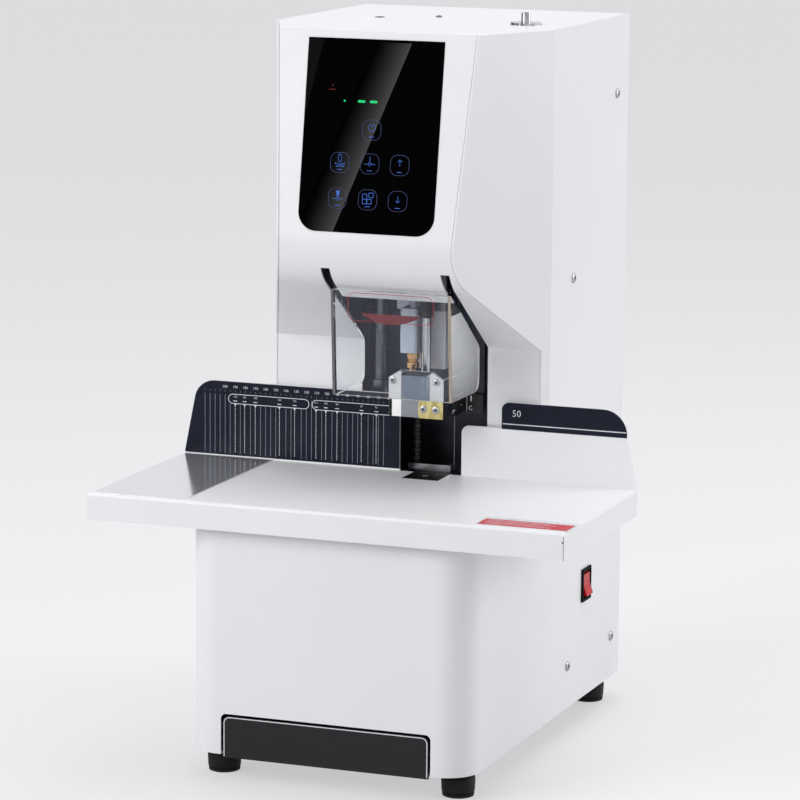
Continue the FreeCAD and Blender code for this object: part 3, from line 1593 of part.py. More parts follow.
def guard_hinges(x, pivot_y, pivot_z):
    """Cross bar inside the head, with a cheek and a pin for each arm of the guard."""
    gap = size.running_gap
    bar_low = pivot_z + size.guard_eye + gap
    bar_y = (pivot_y - size.guard_eye, pivot_y + size.guard_eye)
    bar = block("hinge_bar", (-cabinet_half, cabinet_half), bar_y,
                (bar_low, bar_low + size.hinge_bar_tall))
    trim = plate("hinge_bar_trim", "XY", head_plan(size.sheet_wall + gap, back_face),
                 (pivot_z, size.cover_height))
    shapes = [common("hinge_bar_trimmed", bar, trim)]
    for name, edge, sign in (("left", x[0], -1), ("right", x[1], 1)):
        inner = edge + gap * sign
        outer = inner + size.hinge_block * sign
        span = (outer, inner) if sign < 0 else (inner, outer)
        shapes.append(block(f"{name}_hinge_block", span, bar_y,
                            (pivot_z - size.guard_eye, bar_low)))
        start = inner if sign < 0 else inner - size.hinge_pin_length
        shapes.append(rod(f"{name}_hinge_pin", (start, pivot_y, pivot_z),
                          size.hinge_pin_length, size.hinge_pin_radius, "X"))
    return keep(fuse("guard_hinges", shapes), "guard_hinges")


def chip_tray():
    """Black chip tray with its front, sliding on the cabinet's floor between two rails."""
    half = size.tray_front_width / 2
    front_y = (cabinet_front, cabinet_front + size.tray_front_wall)
    face_low = size.foot_height - size.tray_front_drop
    face_top = face_low + size.tray_front_tall
    arch = [(-half, face_low), (half, face_low), (half, face_top), (-half, face_top)]
    face = plate("tray_face", "XZ", arch, front_y, [(size.tray_opening_corner, arch[2:])])
    low = base_top + size.tray_lift
    box_half = size.tray_width / 2
    back = front_y[1] + size.tray_deep
    box = block("tray_box", (-box_half, box_half), (front_y[1], back), (low, low + size.tray_tall))
    well = block("tray_well", (size.tray_wall - box_half, box_half - size.tray_wall),
                 (front_y[1] + size.tray_wall, back - size.tray_wall),
                 (low + size.tray_wall, low + size.tray_tall + size.overrun))
    return keep(cut("chip_tray", fuse("tray_blank", [face, box]), [well]), "chip_tray")


def chip_chute():
    """Square chute that brings paper chips down beside the throat, with a funnel on top."""
    right = size.axis_x - size.liner_half
    left = right - size.chute_size
    front = column_face + size.chute_setback
    back = front + size.chute_size
    wall = size.chute_wall
    low = base_top + size.chute_clear
    top = level(size.chute_top)
    skin = block("chute_skin", (left, right), (front, back), (low, top))
    hollow = block("chute_hollow", (left + wall, right - wall), (front + wall, back - wall),
                   (low - size.overrun, top + size.overrun))
    mouth = funnel("chute_mouth", (left, right), (front, back), top)
    mouth_hollow = funnel("chute_mouth_hollow", (left + wall, right - wall),
                          (front + wall, back - wall), top)
    return keep(cut("chip_chute", fuse("chute_outer", [skin, mouth]), [hollow, mouth_hollow]),
                "chip_chute")


def funnel(name, x, y, low):
    """Make a square frustum that widens upward from a floor height."""
    spread = size.funnel_spread
    wedge = doc.addObject("Part::Wedge", name)
    bind(wedge, {
        "Xmin": x[0], "Xmax": x[1], "X2min": x[0] - spread, "X2max": x[1] + spread,
        "Zmin": -y[1], "Zmax": -y[0], "Z2min": -y[1] - spread, "Z2max": spread - y[0],
        "Ymin": none, "Ymax": tall(size.funnel_rise),
    })
    wedge.Placement = FreeCAD.Placement(
        FreeCAD.Vector(), FreeCAD.Rotation(FreeCAD.Vector(1, 0, 0), 90))
    place(wedge, none, none, low)
    return wedge


def tube_feed():
    """Tube inlet on the lid, with the tube that leads down to the feed block."""
    x = size.inlet_x
    y = fence_face + size.inlet_setback
    block_top = level(size.feed_block_low + size.feed_block_tall)
    lid_under = size.cover_height - size.sheet_wall
    shapes = [
        rod("inlet_flange", (x, y, size.cover_height), size.inlet_flange,
            size.inlet_flange_radius),
        rod("inlet_stem", (x, y, lid_under), size.sheet_wall + size.inlet_height,
            size.inlet_radius),
        rod("inlet_tube", (x, y, block_top), lid_under - block_top,
            size.inlet_bore + size.feed_tube_wall),
    ]
    bore = rod("inlet_bore", (x, y, block_top - size.overrun),
               size.cover_height - block_top + size.inlet_height + size.overrun * 2,
               size.inlet_bore)
    keep(cut("tube_inlet", fuse("inlet_blank", shapes), [bore]), "tube_inlet")
    feed_unit(x, y, block_top)


def feed_unit(x, y, top):
    """Feed unit on the side of the cast frame: block, motor, nozzle and two rollers."""
    column_right = size.axis_x + size.frame_column_width / 2
    front = y - size.feed_block_deep / 2
    back = y + size.feed_block_deep / 2
    low = level(size.feed_block_low)
    middle = (low + top) / 2
    offset = size.roller_radius + size.inlet_bore - size.fit_gap
    shapes = [
        block("feed_shell", (column_right, column_right + size.feed_block_width),
              (front, back), (low, top)),
        rod("feed_motor", (x - offset, back, middle), size.feed_motor_length,
            size.feed_motor_radius, "Y"),
        rod("feed_nozzle", (x, y, low - tall(size.feed_nozzle)), tall(size.feed_nozzle),
            size.inlet_bore + size.feed_tube_wall),
    ]
    gap = size.running_gap
    reach = offset + size.roller_radius + gap
    roller_reach = size.roller_radius + gap
    tools = [
        block("feed_chamber", (x - reach, x + reach),
              (y - size.roller_wall / 2 - gap, y + size.roller_wall / 2 + gap),
              (middle - roller_reach, middle + roller_reach)),
        rod("feed_way", (x, y, low - tall(size.feed_nozzle) - size.overrun),
            top - low + tall(size.feed_nozzle) + size.overrun * 2, size.inlet_bore),
    ]
    axle_length = size.roller_wall + size.axle_end * 2
    start = y - axle_length / 2
    for name, sign in (("drive", -1), ("pinch", 1)):
        centre = x + offset * sign
        tools.append(rod(f"{name}_axle_hole", (centre, start - gap, middle),
                         axle_length + gap * 2, size.axle_radius + size.fit_gap, "Y"))
        wheel = rod(f"{name}_wheel", (centre, y - size.roller_wall / 2, middle),
                    size.roller_wall, size.roller_radius, "Y")
        axle = rod(f"{name}_axle", (centre, start, middle), axle_length, size.axle_radius, "Y")
        keep(fuse(f"{name}_roller", [wheel, axle]), f"{name}_roller")
    keep(cut("feed_unit", fuse("feed_blank", shapes), tools), "feed_unit")


def power_switch():
    """Rocker switch on the right side: black bezel with its housing, and a red rocker."""
    y = column_face + size.switch_setback
    z = size.switch_height
    half = size.switch_width / 2
    bezel_half = size.switch_tall / 2
    rim = size.bezel_rim
    gap = size.running_gap
    wall = cabinet_half
    bezel = block("bezel_plate", (wall, wall + size.bezel_wall), (y - half, y + half),
                  (z - bezel_half, z + bezel_half))
    case = block("bezel_case", (wall - size.switch_depth, wall),
                 (y - half + rim + gap, y + half - rim - gap),
                 (z - bezel_half + rim + gap, z + bezel_half - rim - gap))
    well_half = half - rim - size.well_wall
    well_tall = bezel_half - rim - size.well_wall
    well_depth = size.switch_depth - rim
    well = block("bezel_well", (wall - well_depth, wall + size.overrun),
                 (y - well_half, y + well_half), (z - well_tall, z + well_tall))
    pin_x = wall - size.bezel_wall
    radius = size.rocker_pin_radius
    pin = rod("rocker_pin", (pin_x, y - well_half, z), well_half * 2, radius, "Y")
    hollow = cut("bezel_hollow", fuse("bezel_blank", [bezel, case]), [well])
    keep(fuse("switch_bezel", [hollow, pin]), "switch_bezel")
    key_half = well_half - gap
    key_tall = well_tall - size.rocker_margin
    face = wall + size.bezel_wall - size.rocker_inset
    key_back = pin_x - size.rocker_heel
    corners = [
        (key_back, z - key_tall / 2), (key_back, z + key_tall / 2),
        (pin_x + rim / 2, z + key_tall), (face, z + key_tall), (face, z),
        (face + key_tall * size.rocker_slope, z - key_tall), (pin_x + rim / 2, z - key_tall),
    ]
    blank = plate("rocker_blank", "XZ", corners, (y - key_half, y + key_half))
    hole = rod("rocker_hole", (pin_x, y - half, z), size.switch_width, radius + size.fit_gap, "Y")
    keep(cut("switch_rocker", blank, [hole]), "switch_rocker")


def power_supply():
    """Boxed power supply on the cabinet's floor, behind the cast frame's foot."""
    front = frame_foot_back + size.supply_clear
    back = back_face - size.sheet_wall - size.power_inlet_depth - size.overrun
    return keep(block("power_supply",
                      (size.supply_left, size.supply_left + size.supply_width), (front, back),
                      (base_top, base_top + size.supply_tall)), "power_supply")


def check_document():
    """Stop if any object failed or any piece has a bad shape."""
    for thing in doc.Objects:
        if "Invalid" in thing.State or "Error" in thing.State:
            raise RuntimeError(f"{thing.Name} did not build: {thing.State}")
    for piece in PIECES:
        if piece.Shape.isNull() or not piece.Shape.isValid() or not piece.Shape.Solids:
            raise RuntimeError(f"{piece.Label} has no valid solid")


def main():
    """Build every piece, check it and write its file."""
    main_shell()
    base_plate()
    feet()
    side_screws()
    head_cover()
    control_panel()
    top_cover()
    top_fittings()
    rear_cover()
    power_inlet()
    worktable()
    wear_plate()
    left_fence()
    right_fence()
    throat_liner()
    throat_fittings()
    cast_frame()
    guides()
    drive()
    carriage()
    station()
    drill()
    rivet_head()
    press_foot()
    anvil()
    guard()
    chip_tray()
    chip_chute()
    tube_feed()
    power_switch()
    power_supply()
    doc.recompute()
    check_document()
    os.makedirs("parts", exist_ok=True)
    for piece in PIECES:
        piece.Shape.exportStep(f"parts/{piece.Label}.step")
        print(f"{piece.Label}: {len(piece.Shape.Solids)} solid(s), {piece.Shape.Volume:.0f} mm3")
    print(len(PIECES), "pieces")


main()
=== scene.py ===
import logging
import math
from dataclasses import dataclass, field
from enum import Enum

import bmesh
import bpy
from mathutils import Matrix, Vector


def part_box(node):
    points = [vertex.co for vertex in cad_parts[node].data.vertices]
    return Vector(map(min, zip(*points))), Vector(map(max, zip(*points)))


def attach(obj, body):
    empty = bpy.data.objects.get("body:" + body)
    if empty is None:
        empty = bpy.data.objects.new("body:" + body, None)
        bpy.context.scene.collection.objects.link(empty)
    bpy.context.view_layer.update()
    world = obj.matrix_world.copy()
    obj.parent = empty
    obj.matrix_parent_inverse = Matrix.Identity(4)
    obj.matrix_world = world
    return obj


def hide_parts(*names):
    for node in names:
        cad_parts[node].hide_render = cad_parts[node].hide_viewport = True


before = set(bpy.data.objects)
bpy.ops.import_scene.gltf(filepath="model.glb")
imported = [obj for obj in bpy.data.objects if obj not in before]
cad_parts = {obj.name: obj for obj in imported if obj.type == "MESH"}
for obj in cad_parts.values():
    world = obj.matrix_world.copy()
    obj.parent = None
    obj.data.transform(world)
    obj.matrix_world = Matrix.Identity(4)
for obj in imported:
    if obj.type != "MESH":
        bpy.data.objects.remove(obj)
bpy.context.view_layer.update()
log = logging.getLogger("riveting_machine")

MM = 0.001
MERGE = 0.001 * MM
FLAT_ANGLE = 35.0
RIGHT, BACK, UP = Vector((1, 0, 0)), Vector((0, 1, 0)), Vector((0, 0, 1))

Shape = bmesh.types.BMesh
Socket = bpy.types.NodeSocket
Colour = tuple[float, float, float]
Spot = tuple[float, float]
Place = tuple[float, float, float]


def screen(red: float, green: float, blue: float) -> Colour:
    """Turn a colour of screen values, from 0 to 255, into a linear colour.

    Args:
        red: Screen value of red.
        green: Screen value of green.
        blue: Screen value of blue.

    Returns:
        The same colour with linear values from 0 to 1.
    """
    full, knee, slope, offset, power = 255, 0.04045, 12.92, 0.055, 2.4
    shares = [value / full for value in (red, green, blue)]
    return tuple(share / slope if share <= knee else ((share + offset) / (1 + offset)) ** power
                 for share in shares)


# Wiring of shader nodes


@dataclass
class Wiring:
    """A node tree that is being wired."""

    tree: bpy.types.NodeTree

    def add(self, kind: str, **values: object) -> bpy.types.Node:
        """Add a node and set its properties and unlinked inputs.

        Args:
            kind: Node type as Blender names it.
            values: Property names, or input names with underscores for spaces.

        Returns:
            The new node.
        """
        node = self.tree.nodes.new(kind)
        for name, value in values.items():
            if hasattr(node, name):
                setattr(node, name, value)
            else:
                node.inputs[name.replace("_", " ")].default_value = value
        return node

    def link(self, source: Socket, target: Socket) -> None:
        """Join an output to an input."""
        self.tree.links.new(source, target)

    def blend(self, mask: Socket, low: Colour | Socket,
              high: Colour | Socket) -> Socket:
        """Mix two colours by a mask.

        Args:
            mask: Output that gives the share of the second colour.
            low: Colour, or a colour's output, where the mask is 0.
            high: Colour, or a colour's output, where the mask is 1.

        Returns:
            The mixed colour's output.
        """
        mix = self.add("ShaderNodeMix", data_type="RGBA")
        self.link(mask, mix.inputs["Factor"])
        tinted = [socket for socket in mix.inputs if socket.type == "RGBA"]
        for socket, colour in zip(tinted, (low, high)):
            if isinstance(colour, Socket):
                self.link(colour, socket)
            else:
                socket.default_value = (*colour, 1)
        return next(socket for socket in mix.outputs if socket.type == "RGBA")

    def spread(self, mask: Socket, low: float, high: float) -> Socket:
        """Map a mask from 0 to 1 onto a range of values.

        Args:
            mask: Output between 0 and 1.
            low: Value where the mask is 0.
            high: Value where the mask is 1.

        Returns:
            The mapped value's output.
        """
        node = self.add("ShaderNodeMapRange")
        node.inputs["To Min"].default_value = low
        node.inputs["To Max"].default_value = high
        self.link(mask, node.inputs["Value"])
        return node.outputs["Result"]

    def narrow(self, mask: Socket, low: float, high: float) -> Socket:
        """Stretch a part of a mask's range onto 0 to 1.

        Args:
            mask: The mask's output.
            low: Value that becomes 0.
            high: Value that becomes 1.

        Returns:
            The stretched mask's output.
        """
        node = self.add("ShaderNodeMapRange")
        node.inputs["From Min"].default_value = low
        node.inputs["From Max"].default_value = high
        self.link(mask, node.inputs["Value"])
        return node.outputs["Result"]

    def combine(self, operation: str, first: Socket,
                second: Socket) -> Socket:
        """Join two values by a sum, a product or the larger of them.

        Args:
            operation: Operation as Blender names it.
            first: First value's output.
            second: Second value's output.

        Returns:
            The result's output.
        """
        node = self.add("ShaderNodeMath", operation=operation)
        self.link(first, node.inputs[0])
        self.link(second, node.inputs[1])
        return node.outputs["Value"]

    def sight(self) -> Socket:
        """Tell which rays see a surface: straight, in a gloss or through glass.

        Returns:
            An output of 1 for those rays and 0 for the others.
        """
        ray = self.add("ShaderNodeLightPath")
        seen = self.combine("MAXIMUM", ray.outputs["Is Camera Ray"], ray.outputs["Is Glossy Ray"])
        return self.combine("MAXIMUM", seen, ray.outputs["Is Transmission Ray"])


class Effect(Enum):
    """Shared effects, each one node group."""

    CLOUD = "soft_cloud"
    GRAIN = "surface_grain"
    BRUSH = "brushed_lines"
    DUST = "settled_dust"


@dataclass
class EffectShelf:
    """Builds each shared effect once and places it in materials."""

    made: dict[Effect, bpy.types.NodeTree] = field(default_factory=dict)

    def group(self, effect: Effect) -> bpy.types.NodeTree:
        """Give an effect's node group, and build it the first time.

        Args:
            effect: The wanted effect.

        Returns:
            Its node group.
        """
        if effect not in self.made:
            makers = {Effect.CLOUD: self.cloud, Effect.GRAIN: self.grain,
                      Effect.BRUSH: self.brush, Effect.DUST: self.dust}
            self.made[effect] = makers[effect]()
        return self.made[effect]

    def place(self, wiring: Wiring, effect: Effect, **values: object) -> bpy.types.Node:
        """Place an effect in a material with its own values.

        Args:
            wiring: The material's tree.
            effect: The wanted effect.
            values: Values of the group's inputs.

        Returns:
            The group node.
        """
        node = wiring.add("ShaderNodeGroup")
        node.node_tree = self.group(effect)
        for name, value in values.items():
            node.inputs[name.replace("_", " ")].default_value = value
        return node

    def start(self, effect: Effect, inputs: dict[str, float], outputs: list[str],
              vectors: tuple[str, ...] = ()) -> tuple[Wiring, dict, dict]:
        """Begin a node group with named inputs and outputs.

        Args:
            effect: The effect that the group makes.
            inputs: Input names with their usual values.
            outputs: Output names.
            vectors: Inputs that are vectors.

        Returns:
            The group's wiring, and its inner input and output sockets by name.
        """
        tree = bpy.data.node_groups.new(effect.value, "ShaderNodeTree")
        for name, value in inputs.items():
            kind = "NodeSocketVector" if name in vectors else "NodeSocketFloat"
            socket = tree.interface.new_socket(name, in_out="INPUT", socket_type=kind)
            socket.default_value = value
        for name in outputs:
            tree.interface.new_socket(name, in_out="OUTPUT", socket_type="NodeSocketFloat")
        wiring = Wiring(tree)
        entry = wiring.add("NodeGroupInput")
        ending = wiring.add("NodeGroupOutput")
        return (wiring, {name: entry.outputs[name] for name in inputs},
                {name: ending.inputs[name] for name in outputs})

    def cloud(self) -> bpy.types.NodeTree:
        """Build slow, soft changes over a surface.

        Returns:
            The node group, with a Mask from 0 to 1.
        """
        wiring, entry, ending = self.start(Effect.CLOUD, {"Scale": 6.0}, ["Mask"])
        where = wiring.add("ShaderNodeTexCoord")
        noise = wiring.add("ShaderNodeTexNoise", Detail=3.0, Roughness=0.55)
        wiring.link(where.outputs["Object"], noise.inputs["Vector"])
        wiring.link(entry["Scale"], noise.inputs["Scale"])
        wiring.link(wiring.narrow(noise.outputs["Fac"], 0.3, 0.7), ending["Mask"])
        return wiring.tree

    def grain(self) -> bpy.types.NodeTree:
        """Build a fine, even texture such as orange peel, moulded plastic or cast skin.

        Returns:
            The node group, with a Height and a Mask of its darker specks.
        """
        wiring, entry, ending = self.start(Effect.GRAIN, {"Scale": 900.0, "Detail": 2.0},
                                           ["Height", "Mask"])
        where = wiring.add("ShaderNodeTexCoord")
        noise = wiring.add("ShaderNodeTexNoise", Roughness=0.6)
        wiring.link(where.outputs["Object"], noise.inputs["Vector"])
        wiring.link(entry["Scale"], noise.inputs["Scale"])
        wiring.link(entry["Detail"], noise.inputs["Detail"])
        wiring.link(noise.outputs["Fac"], ending["Height"])
        wiring.link(wiring.narrow(noise.outputs["Fac"], 0.55, 0.75), ending["Mask"])
        return wiring.tree

    def brush(self) -> bpy.types.NodeTree:
        """Build fine lines that run one way, as on brushed or turned metal; drawn wide round a
        rod, they give broad bands of painted reflection.

        Returns:
            The node group, with a Height and a Mask of lighter lines.
        """
        wiring, entry, ending = self.start(
            Effect.BRUSH, {"Scale": 40.0, "Stretch": (1.0, 1.0, 1.0)}, ["Height", "Mask"],
            ("Stretch",))
        where = wiring.add("ShaderNodeTexCoord")
        squeeze = wiring.add("ShaderNodeVectorMath", operation="MULTIPLY")
        wiring.link(where.outputs["Object"], squeeze.inputs[0])
        wiring.link(entry["Stretch"], squeeze.inputs[1])
        noise = wiring.add("ShaderNodeTexNoise", Detail=4.0, Roughness=0.65)
        wiring.link(squeeze.outputs["Vector"], noise.inputs["Vector"])
        wiring.link(entry["Scale"], noise.inputs["Scale"])
        wiring.link(noise.outputs["Fac"], ending["Height"])
        wiring.link(wiring.narrow(noise.outputs["Fac"], 0.42, 0.62), ending["Mask"])
        return wiring.tree

    def dust(self) -> bpy.types.NodeTree:
        """Build thin dust that settles on upward faces.

        Returns:
            The node group, with a Mask of where the dust lies.
        """
        wiring, entry, ending = self.start(Effect.DUST, {"Amount": 0.2, "Scale": 60.0}, ["Mask"])
        facing = wiring.add("ShaderNodeNewGeometry")
        parts = wiring.add("ShaderNodeSeparateXYZ")
        wiring.link(facing.outputs["Normal"], parts.inputs["Vector"])
        level = wiring.narrow(parts.outputs["Z"], 0.6, 1.0)
        where = wiring.add("ShaderNodeTexCoord")
        noise = wiring.add("ShaderNodeTexNoise", Detail=5.0, Roughness=0.7)
        wiring.link(where.outputs["Object"], noise.inputs["Vector"])
        wiring.link(entry["Scale"], noise.inputs["Scale"])
        patchy = wiring.combine("MULTIPLY", level, noise.outputs["Fac"])
        wiring.link(wiring.combine("MULTIPLY", patchy, entry["Amount"]), ending["Mask"])
        return wiring.tree


effects = EffectShelf()


# Finishes


@dataclass(frozen=True)
class Finish:
    """Base of all finishes: a name, and a material that is made once."""

    name: str

    def material(self) -> bpy.types.Material:
        """Give the finish's material, and build it the first time.

        Returns:
            The material.
        """
        known = bpy.data.materials.get(self.name)
        if known is not None:
            return known
        made = bpy.data.materials.new(self.name)
        made.use_nodes = True
        wiring = Wiring(made.node_tree)
        self.dress(wiring, made.node_tree.nodes["Principled BSDF"])
        return made

    def dress(self, wiring: Wiring, shader: bpy.types.Node) -> None:
        """Wire the shader. Each kind of finish has its own way."""
        raise NotImplementedError


@dataclass(frozen=True)
class Paint(Finish):
    """Powder coat with a slight orange peel and a soft change of tint."""

    colour: Colour
    shade: Colour
    gloss: Spot = (0.3, 0.38)
    peel_scale: float = 420.0
    peel_depth: float = 0.00003
    specular: float = 0.4
    dust: float = 0.05
    dust_colour: Colour = (0.52, 0.5, 0.47)

    def dress(self, wiring: Wiring, shader: bpy.types.Node) -> None:
        """Wire the paint's colour, gloss and peel.

        Args:
            wiring: The material's tree.
            shader: The material's shader.
        """
        cloud = effects.place(wiring, Effect.CLOUD, Scale=5.0)
        base = wiring.blend(cloud.outputs["Mask"], self.colour, self.shade)
        settled = effects.place(wiring, Effect.DUST, Amount=self.dust, Scale=35.0)
        wiring.link(wiring.blend(settled.outputs["Mask"], base, self.dust_colour),
                    shader.inputs["Base Color"])
        wiring.link(wiring.spread(cloud.outputs["Mask"], *self.gloss), shader.inputs["Roughness"])
        peel = effects.place(wiring, Effect.GRAIN, Scale=self.peel_scale, Detail=1.0)
        bump = wiring.add("ShaderNodeBump", Strength=0.35, Distance=self.peel_depth)
        wiring.link(peel.outputs["Height"], bump.inputs["Height"])
        wiring.link(bump.outputs["Normal"], shader.inputs["Normal"])
        shader.inputs["Specular IOR Level"].default_value = self.specular


@dataclass(frozen=True)
class Metal(Finish):
    """Metal with fine lines from grinding, turning or rolling; on the drill and the chrome, broad
    light and dark bands round the rod are painted reflections.
    """

    colour: Colour
    shade: Colour
    gloss: Spot = (0.18, 0.32)
    stretch: Place = (1.0, 1.0, 30.0)
    line_scale: float = 60.0
    line_depth: float = 0.00002
    metallic: float = 1.0

    def dress(self, wiring: Wiring, shader: bpy.types.Node) -> None:
        """Wire the metal's colour, gloss and lines.

        Args:
            wiring: The material's tree.
            shader: The material's shader.
        """
        lines = effects.place(wiring, Effect.BRUSH, Scale=self.line_scale, Stretch=self.stretch)
        cloud = effects.place(wiring, Effect.CLOUD, Scale=30.0)
        wiring.link(wiring.blend(lines.outputs["Mask"], self.shade, self.colour),
                    shader.inputs["Base Color"])
        wiring.link(wiring.spread(cloud.outputs["Mask"], *self.gloss), shader.inputs["Roughness"])
        bump = wiring.add("ShaderNodeBump", Strength=0.3, Distance=self.line_depth)
        wiring.link(lines.outputs["Height"], bump.inputs["Height"])
        wiring.link(bump.outputs["Normal"], shader.inputs["Normal"])
        shader.inputs["Metallic"].default_value = self.metallic


@dataclass(frozen=True)
class ShadeFade(Finish):
    """Painted shade: a skin that grows lighter along the piece, standing in for the deep shade it
    comes out of.
    """

    colour: Colour
    shade: Colour
    way: str
    span: Spot = (0.1, 0.85)
    gloss: float = 0.22
    metallic: float = 1.0
    specular: float = 0.5

    def dress(self, wiring: Wiring, shader: bpy.types.Node) -> None:
        """Wire the painted shade that fades along the piece, and its fine grain.

        Args:
            wiring: The material's tree.
            shader: The material's shader.
        """
        where = wiring.add("ShaderNodeTexCoord")
        parts = wiring.add("ShaderNodeSeparateXYZ")
        wiring.link(where.outputs["Generated"], parts.inputs["Vector"])
        grain = effects.place(wiring, Effect.GRAIN, Scale=400.0, Detail=3.0)
        fade = wiring.narrow(parts.outputs[self.way], *self.span)
        wiring.link(wiring.blend(fade, self.shade, self.colour), shader.inputs["Base Color"])
        bump = wiring.add("ShaderNodeBump", Strength=0.3, Distance=0.00001)
        wiring.link(grain.outputs["Height"], bump.inputs["Height"])
        wiring.link(bump.outputs["Normal"], shader.inputs["Normal"])
        shader.inputs["Metallic"].default_value = self.metallic
        shader.inputs["Roughness"].default_value = self.gloss
        shader.inputs["Specular IOR Level"].default_value = self.specular


@dataclass(frozen=True)
class Grained(Finish):
    """Opaque plastic, rubber, nylon or cast skin with a fine grain."""

    colour: Colour
    shade: Colour
    gloss: Spot = (0.4, 0.55)
    grain_scale: float = 1200.0
    grain_depth: float = 0.00005
    specular: float = 0.5
    sheen_through: float = 0.0

    def dress(self, wiring: Wiring, shader: bpy.types.Node) -> None:
        """Wire the colour, gloss and grain.

        Args:
            wiring: The material's tree.
            shader: The material's shader.
        """
        grain = effects.place(wiring, Effect.GRAIN, Scale=self.grain_scale, Detail=3.0)
        cloud = effects.place(wiring, Effect.CLOUD, Scale=18.0)
        wiring.link(wiring.blend(grain.outputs["Mask"], self.colour, self.shade),
                    shader.inputs["Base Color"])
        wiring.link(wiring.spread(cloud.outputs["Mask"], *self.gloss), shader.inputs["Roughness"])
        bump = wiring.add("ShaderNodeBump", Strength=0.4, Distance=self.grain_depth)
        wiring.link(grain.outputs["Height"], bump.inputs["Height"])
        wiring.link(bump.outputs["Normal"], shader.inputs["Normal"])
        shader.inputs["Specular IOR Level"].default_value = self.specular
        shader.inputs["Subsurface Weight"].default_value = self.sheen_through
        shader.inputs["Subsurface Radius"].default_value = (0.004, 0.003, 0.002)
        shader.inputs["Subsurface Scale"].default_value = 0.5


@dataclass(frozen=True)
class Clear(Finish):
    """Clear sheet plastic with faint smears."""

    tint: Colour
    gloss: Spot = (0.015, 0.05)
    bend: float = 1.12
    mirror: float = 0.8
    shadow_share: float = 0.25

    def dress(self, wiring: Wiring, shader: bpy.types.Node) -> None:
        """Wire the smears, and let most light through in shadows.

        Args:
            wiring: The material's tree.
            shader: The material's shader.
        """
        cloud = effects.place(wiring, Effect.CLOUD, Scale=45.0)
        wiring.link(wiring.spread(cloud.outputs["Mask"], *self.gloss), shader.inputs["Roughness"])
        shader.inputs["Base Color"].default_value = (*self.tint, 1)
        shader.inputs["Transmission Weight"].default_value = 1.0
        shader.inputs["IOR"].default_value = self.bend
        shader.inputs["Specular IOR Level"].default_value = self.mirror
        ray = wiring.add("ShaderNodeLightPath")
        wiring.link(wiring.spread(ray.outputs["Is Shadow Ray"], 1.0, self.shadow_share),
                    shader.inputs["Alpha"])


@dataclass(frozen=True)
class Haze(Finish):
    """Milky skin or faint haze on clear sheet plastic, its sawn edges and bonded corners; several
    of these skins are painted reflection, painted highlights and painted shade.
    """

    colour: Colour
    cover: Spot = (0.3, 0.4)
    gloss: Spot = (0.1, 0.2)
    low_share: float = 1.0

    def dress(self, wiring: Wiring, shader: bpy.types.Node) -> None:
        """Wire how much the skin covers, and how that thins out towards its lower end.

        Args:
            wiring: The material's tree.
            shader: The material's shader.
        """
        cloud = effects.place(wiring, Effect.CLOUD, Scale=25.0)
        where = wiring.add("ShaderNodeTexCoord")
        parts = wiring.add("ShaderNodeSeparateXYZ")
        wiring.link(where.outputs["Generated"], parts.inputs["Vector"])
        cover = wiring.combine("MULTIPLY", wiring.spread(cloud.outputs["Mask"], *self.cover),
                               wiring.spread(parts.outputs["Z"], self.low_share, 1.0))
        wiring.link(cover, shader.inputs["Alpha"])
        wiring.link(wiring.spread(cloud.outputs["Mask"], *self.gloss), shader.inputs["Roughness"])
        shader.inputs["Base Color"].default_value = (*self.colour, 1)


@dataclass(frozen=True)
class Ink(Finish):
    """Flat printed ink or film, a little uneven, which may glow; some of these inks are laid as
    painted shade.
    """

    colour: Colour
    shade: Colour
    gloss: Spot = (0.25, 0.4)
    glow: float = 0.0
    specular: float = 0.4

    def dress(self, wiring: Wiring, shader: bpy.types.Node) -> None:
        """Wire the ink's colour, gloss and glow.

        Args:
            wiring: The material's tree.
            shader: The material's shader.
        """
        cloud = effects.place(wiring, Effect.CLOUD, Scale=80.0)
        mixed = wiring.blend(cloud.outputs["Mask"], self.colour, self.shade)
        wiring.link(mixed, shader.inputs["Base Color"])
        wiring.link(wiring.spread(cloud.outputs["Mask"], *self.gloss), shader.inputs["Roughness"])
        shader.inputs["Specular IOR Level"].default_value = self.specular
        if self.glow:
            wiring.link(mixed, shader.inputs["Emission Color"])
            shader.inputs["Emission Strength"].default_value = self.glow


@dataclass(frozen=True)
class Circuit(Finish):
    """Green circuit board with fine tracks."""

    colour: Colour
    track: Colour
    track_scale: float = 260.0

    def dress(self, wiring: Wiring, shader: bpy.types.Node) -> None:
        """Wire the board's tracks.

        Args:
            wiring: The material's tree.
            shader: The material's shader.
        """
        where = wiring.add("ShaderNodeTexCoord")
        cells = wiring.add("ShaderNodeTexVoronoi", distance="CHEBYCHEV",
                           feature="DISTANCE_TO_EDGE", Scale=self.track_scale)
        wiring.link(where.outputs["Object"], cells.inputs["Vector"])
        thin = wiring.narrow(cells.outputs["Distance"], 0.1, 0.04)
        wiring.link(wiring.blend(thin, self.colour, self.track), shader.inputs["Base Color"])
        shader.inputs["Roughness"].default_value = 0.35


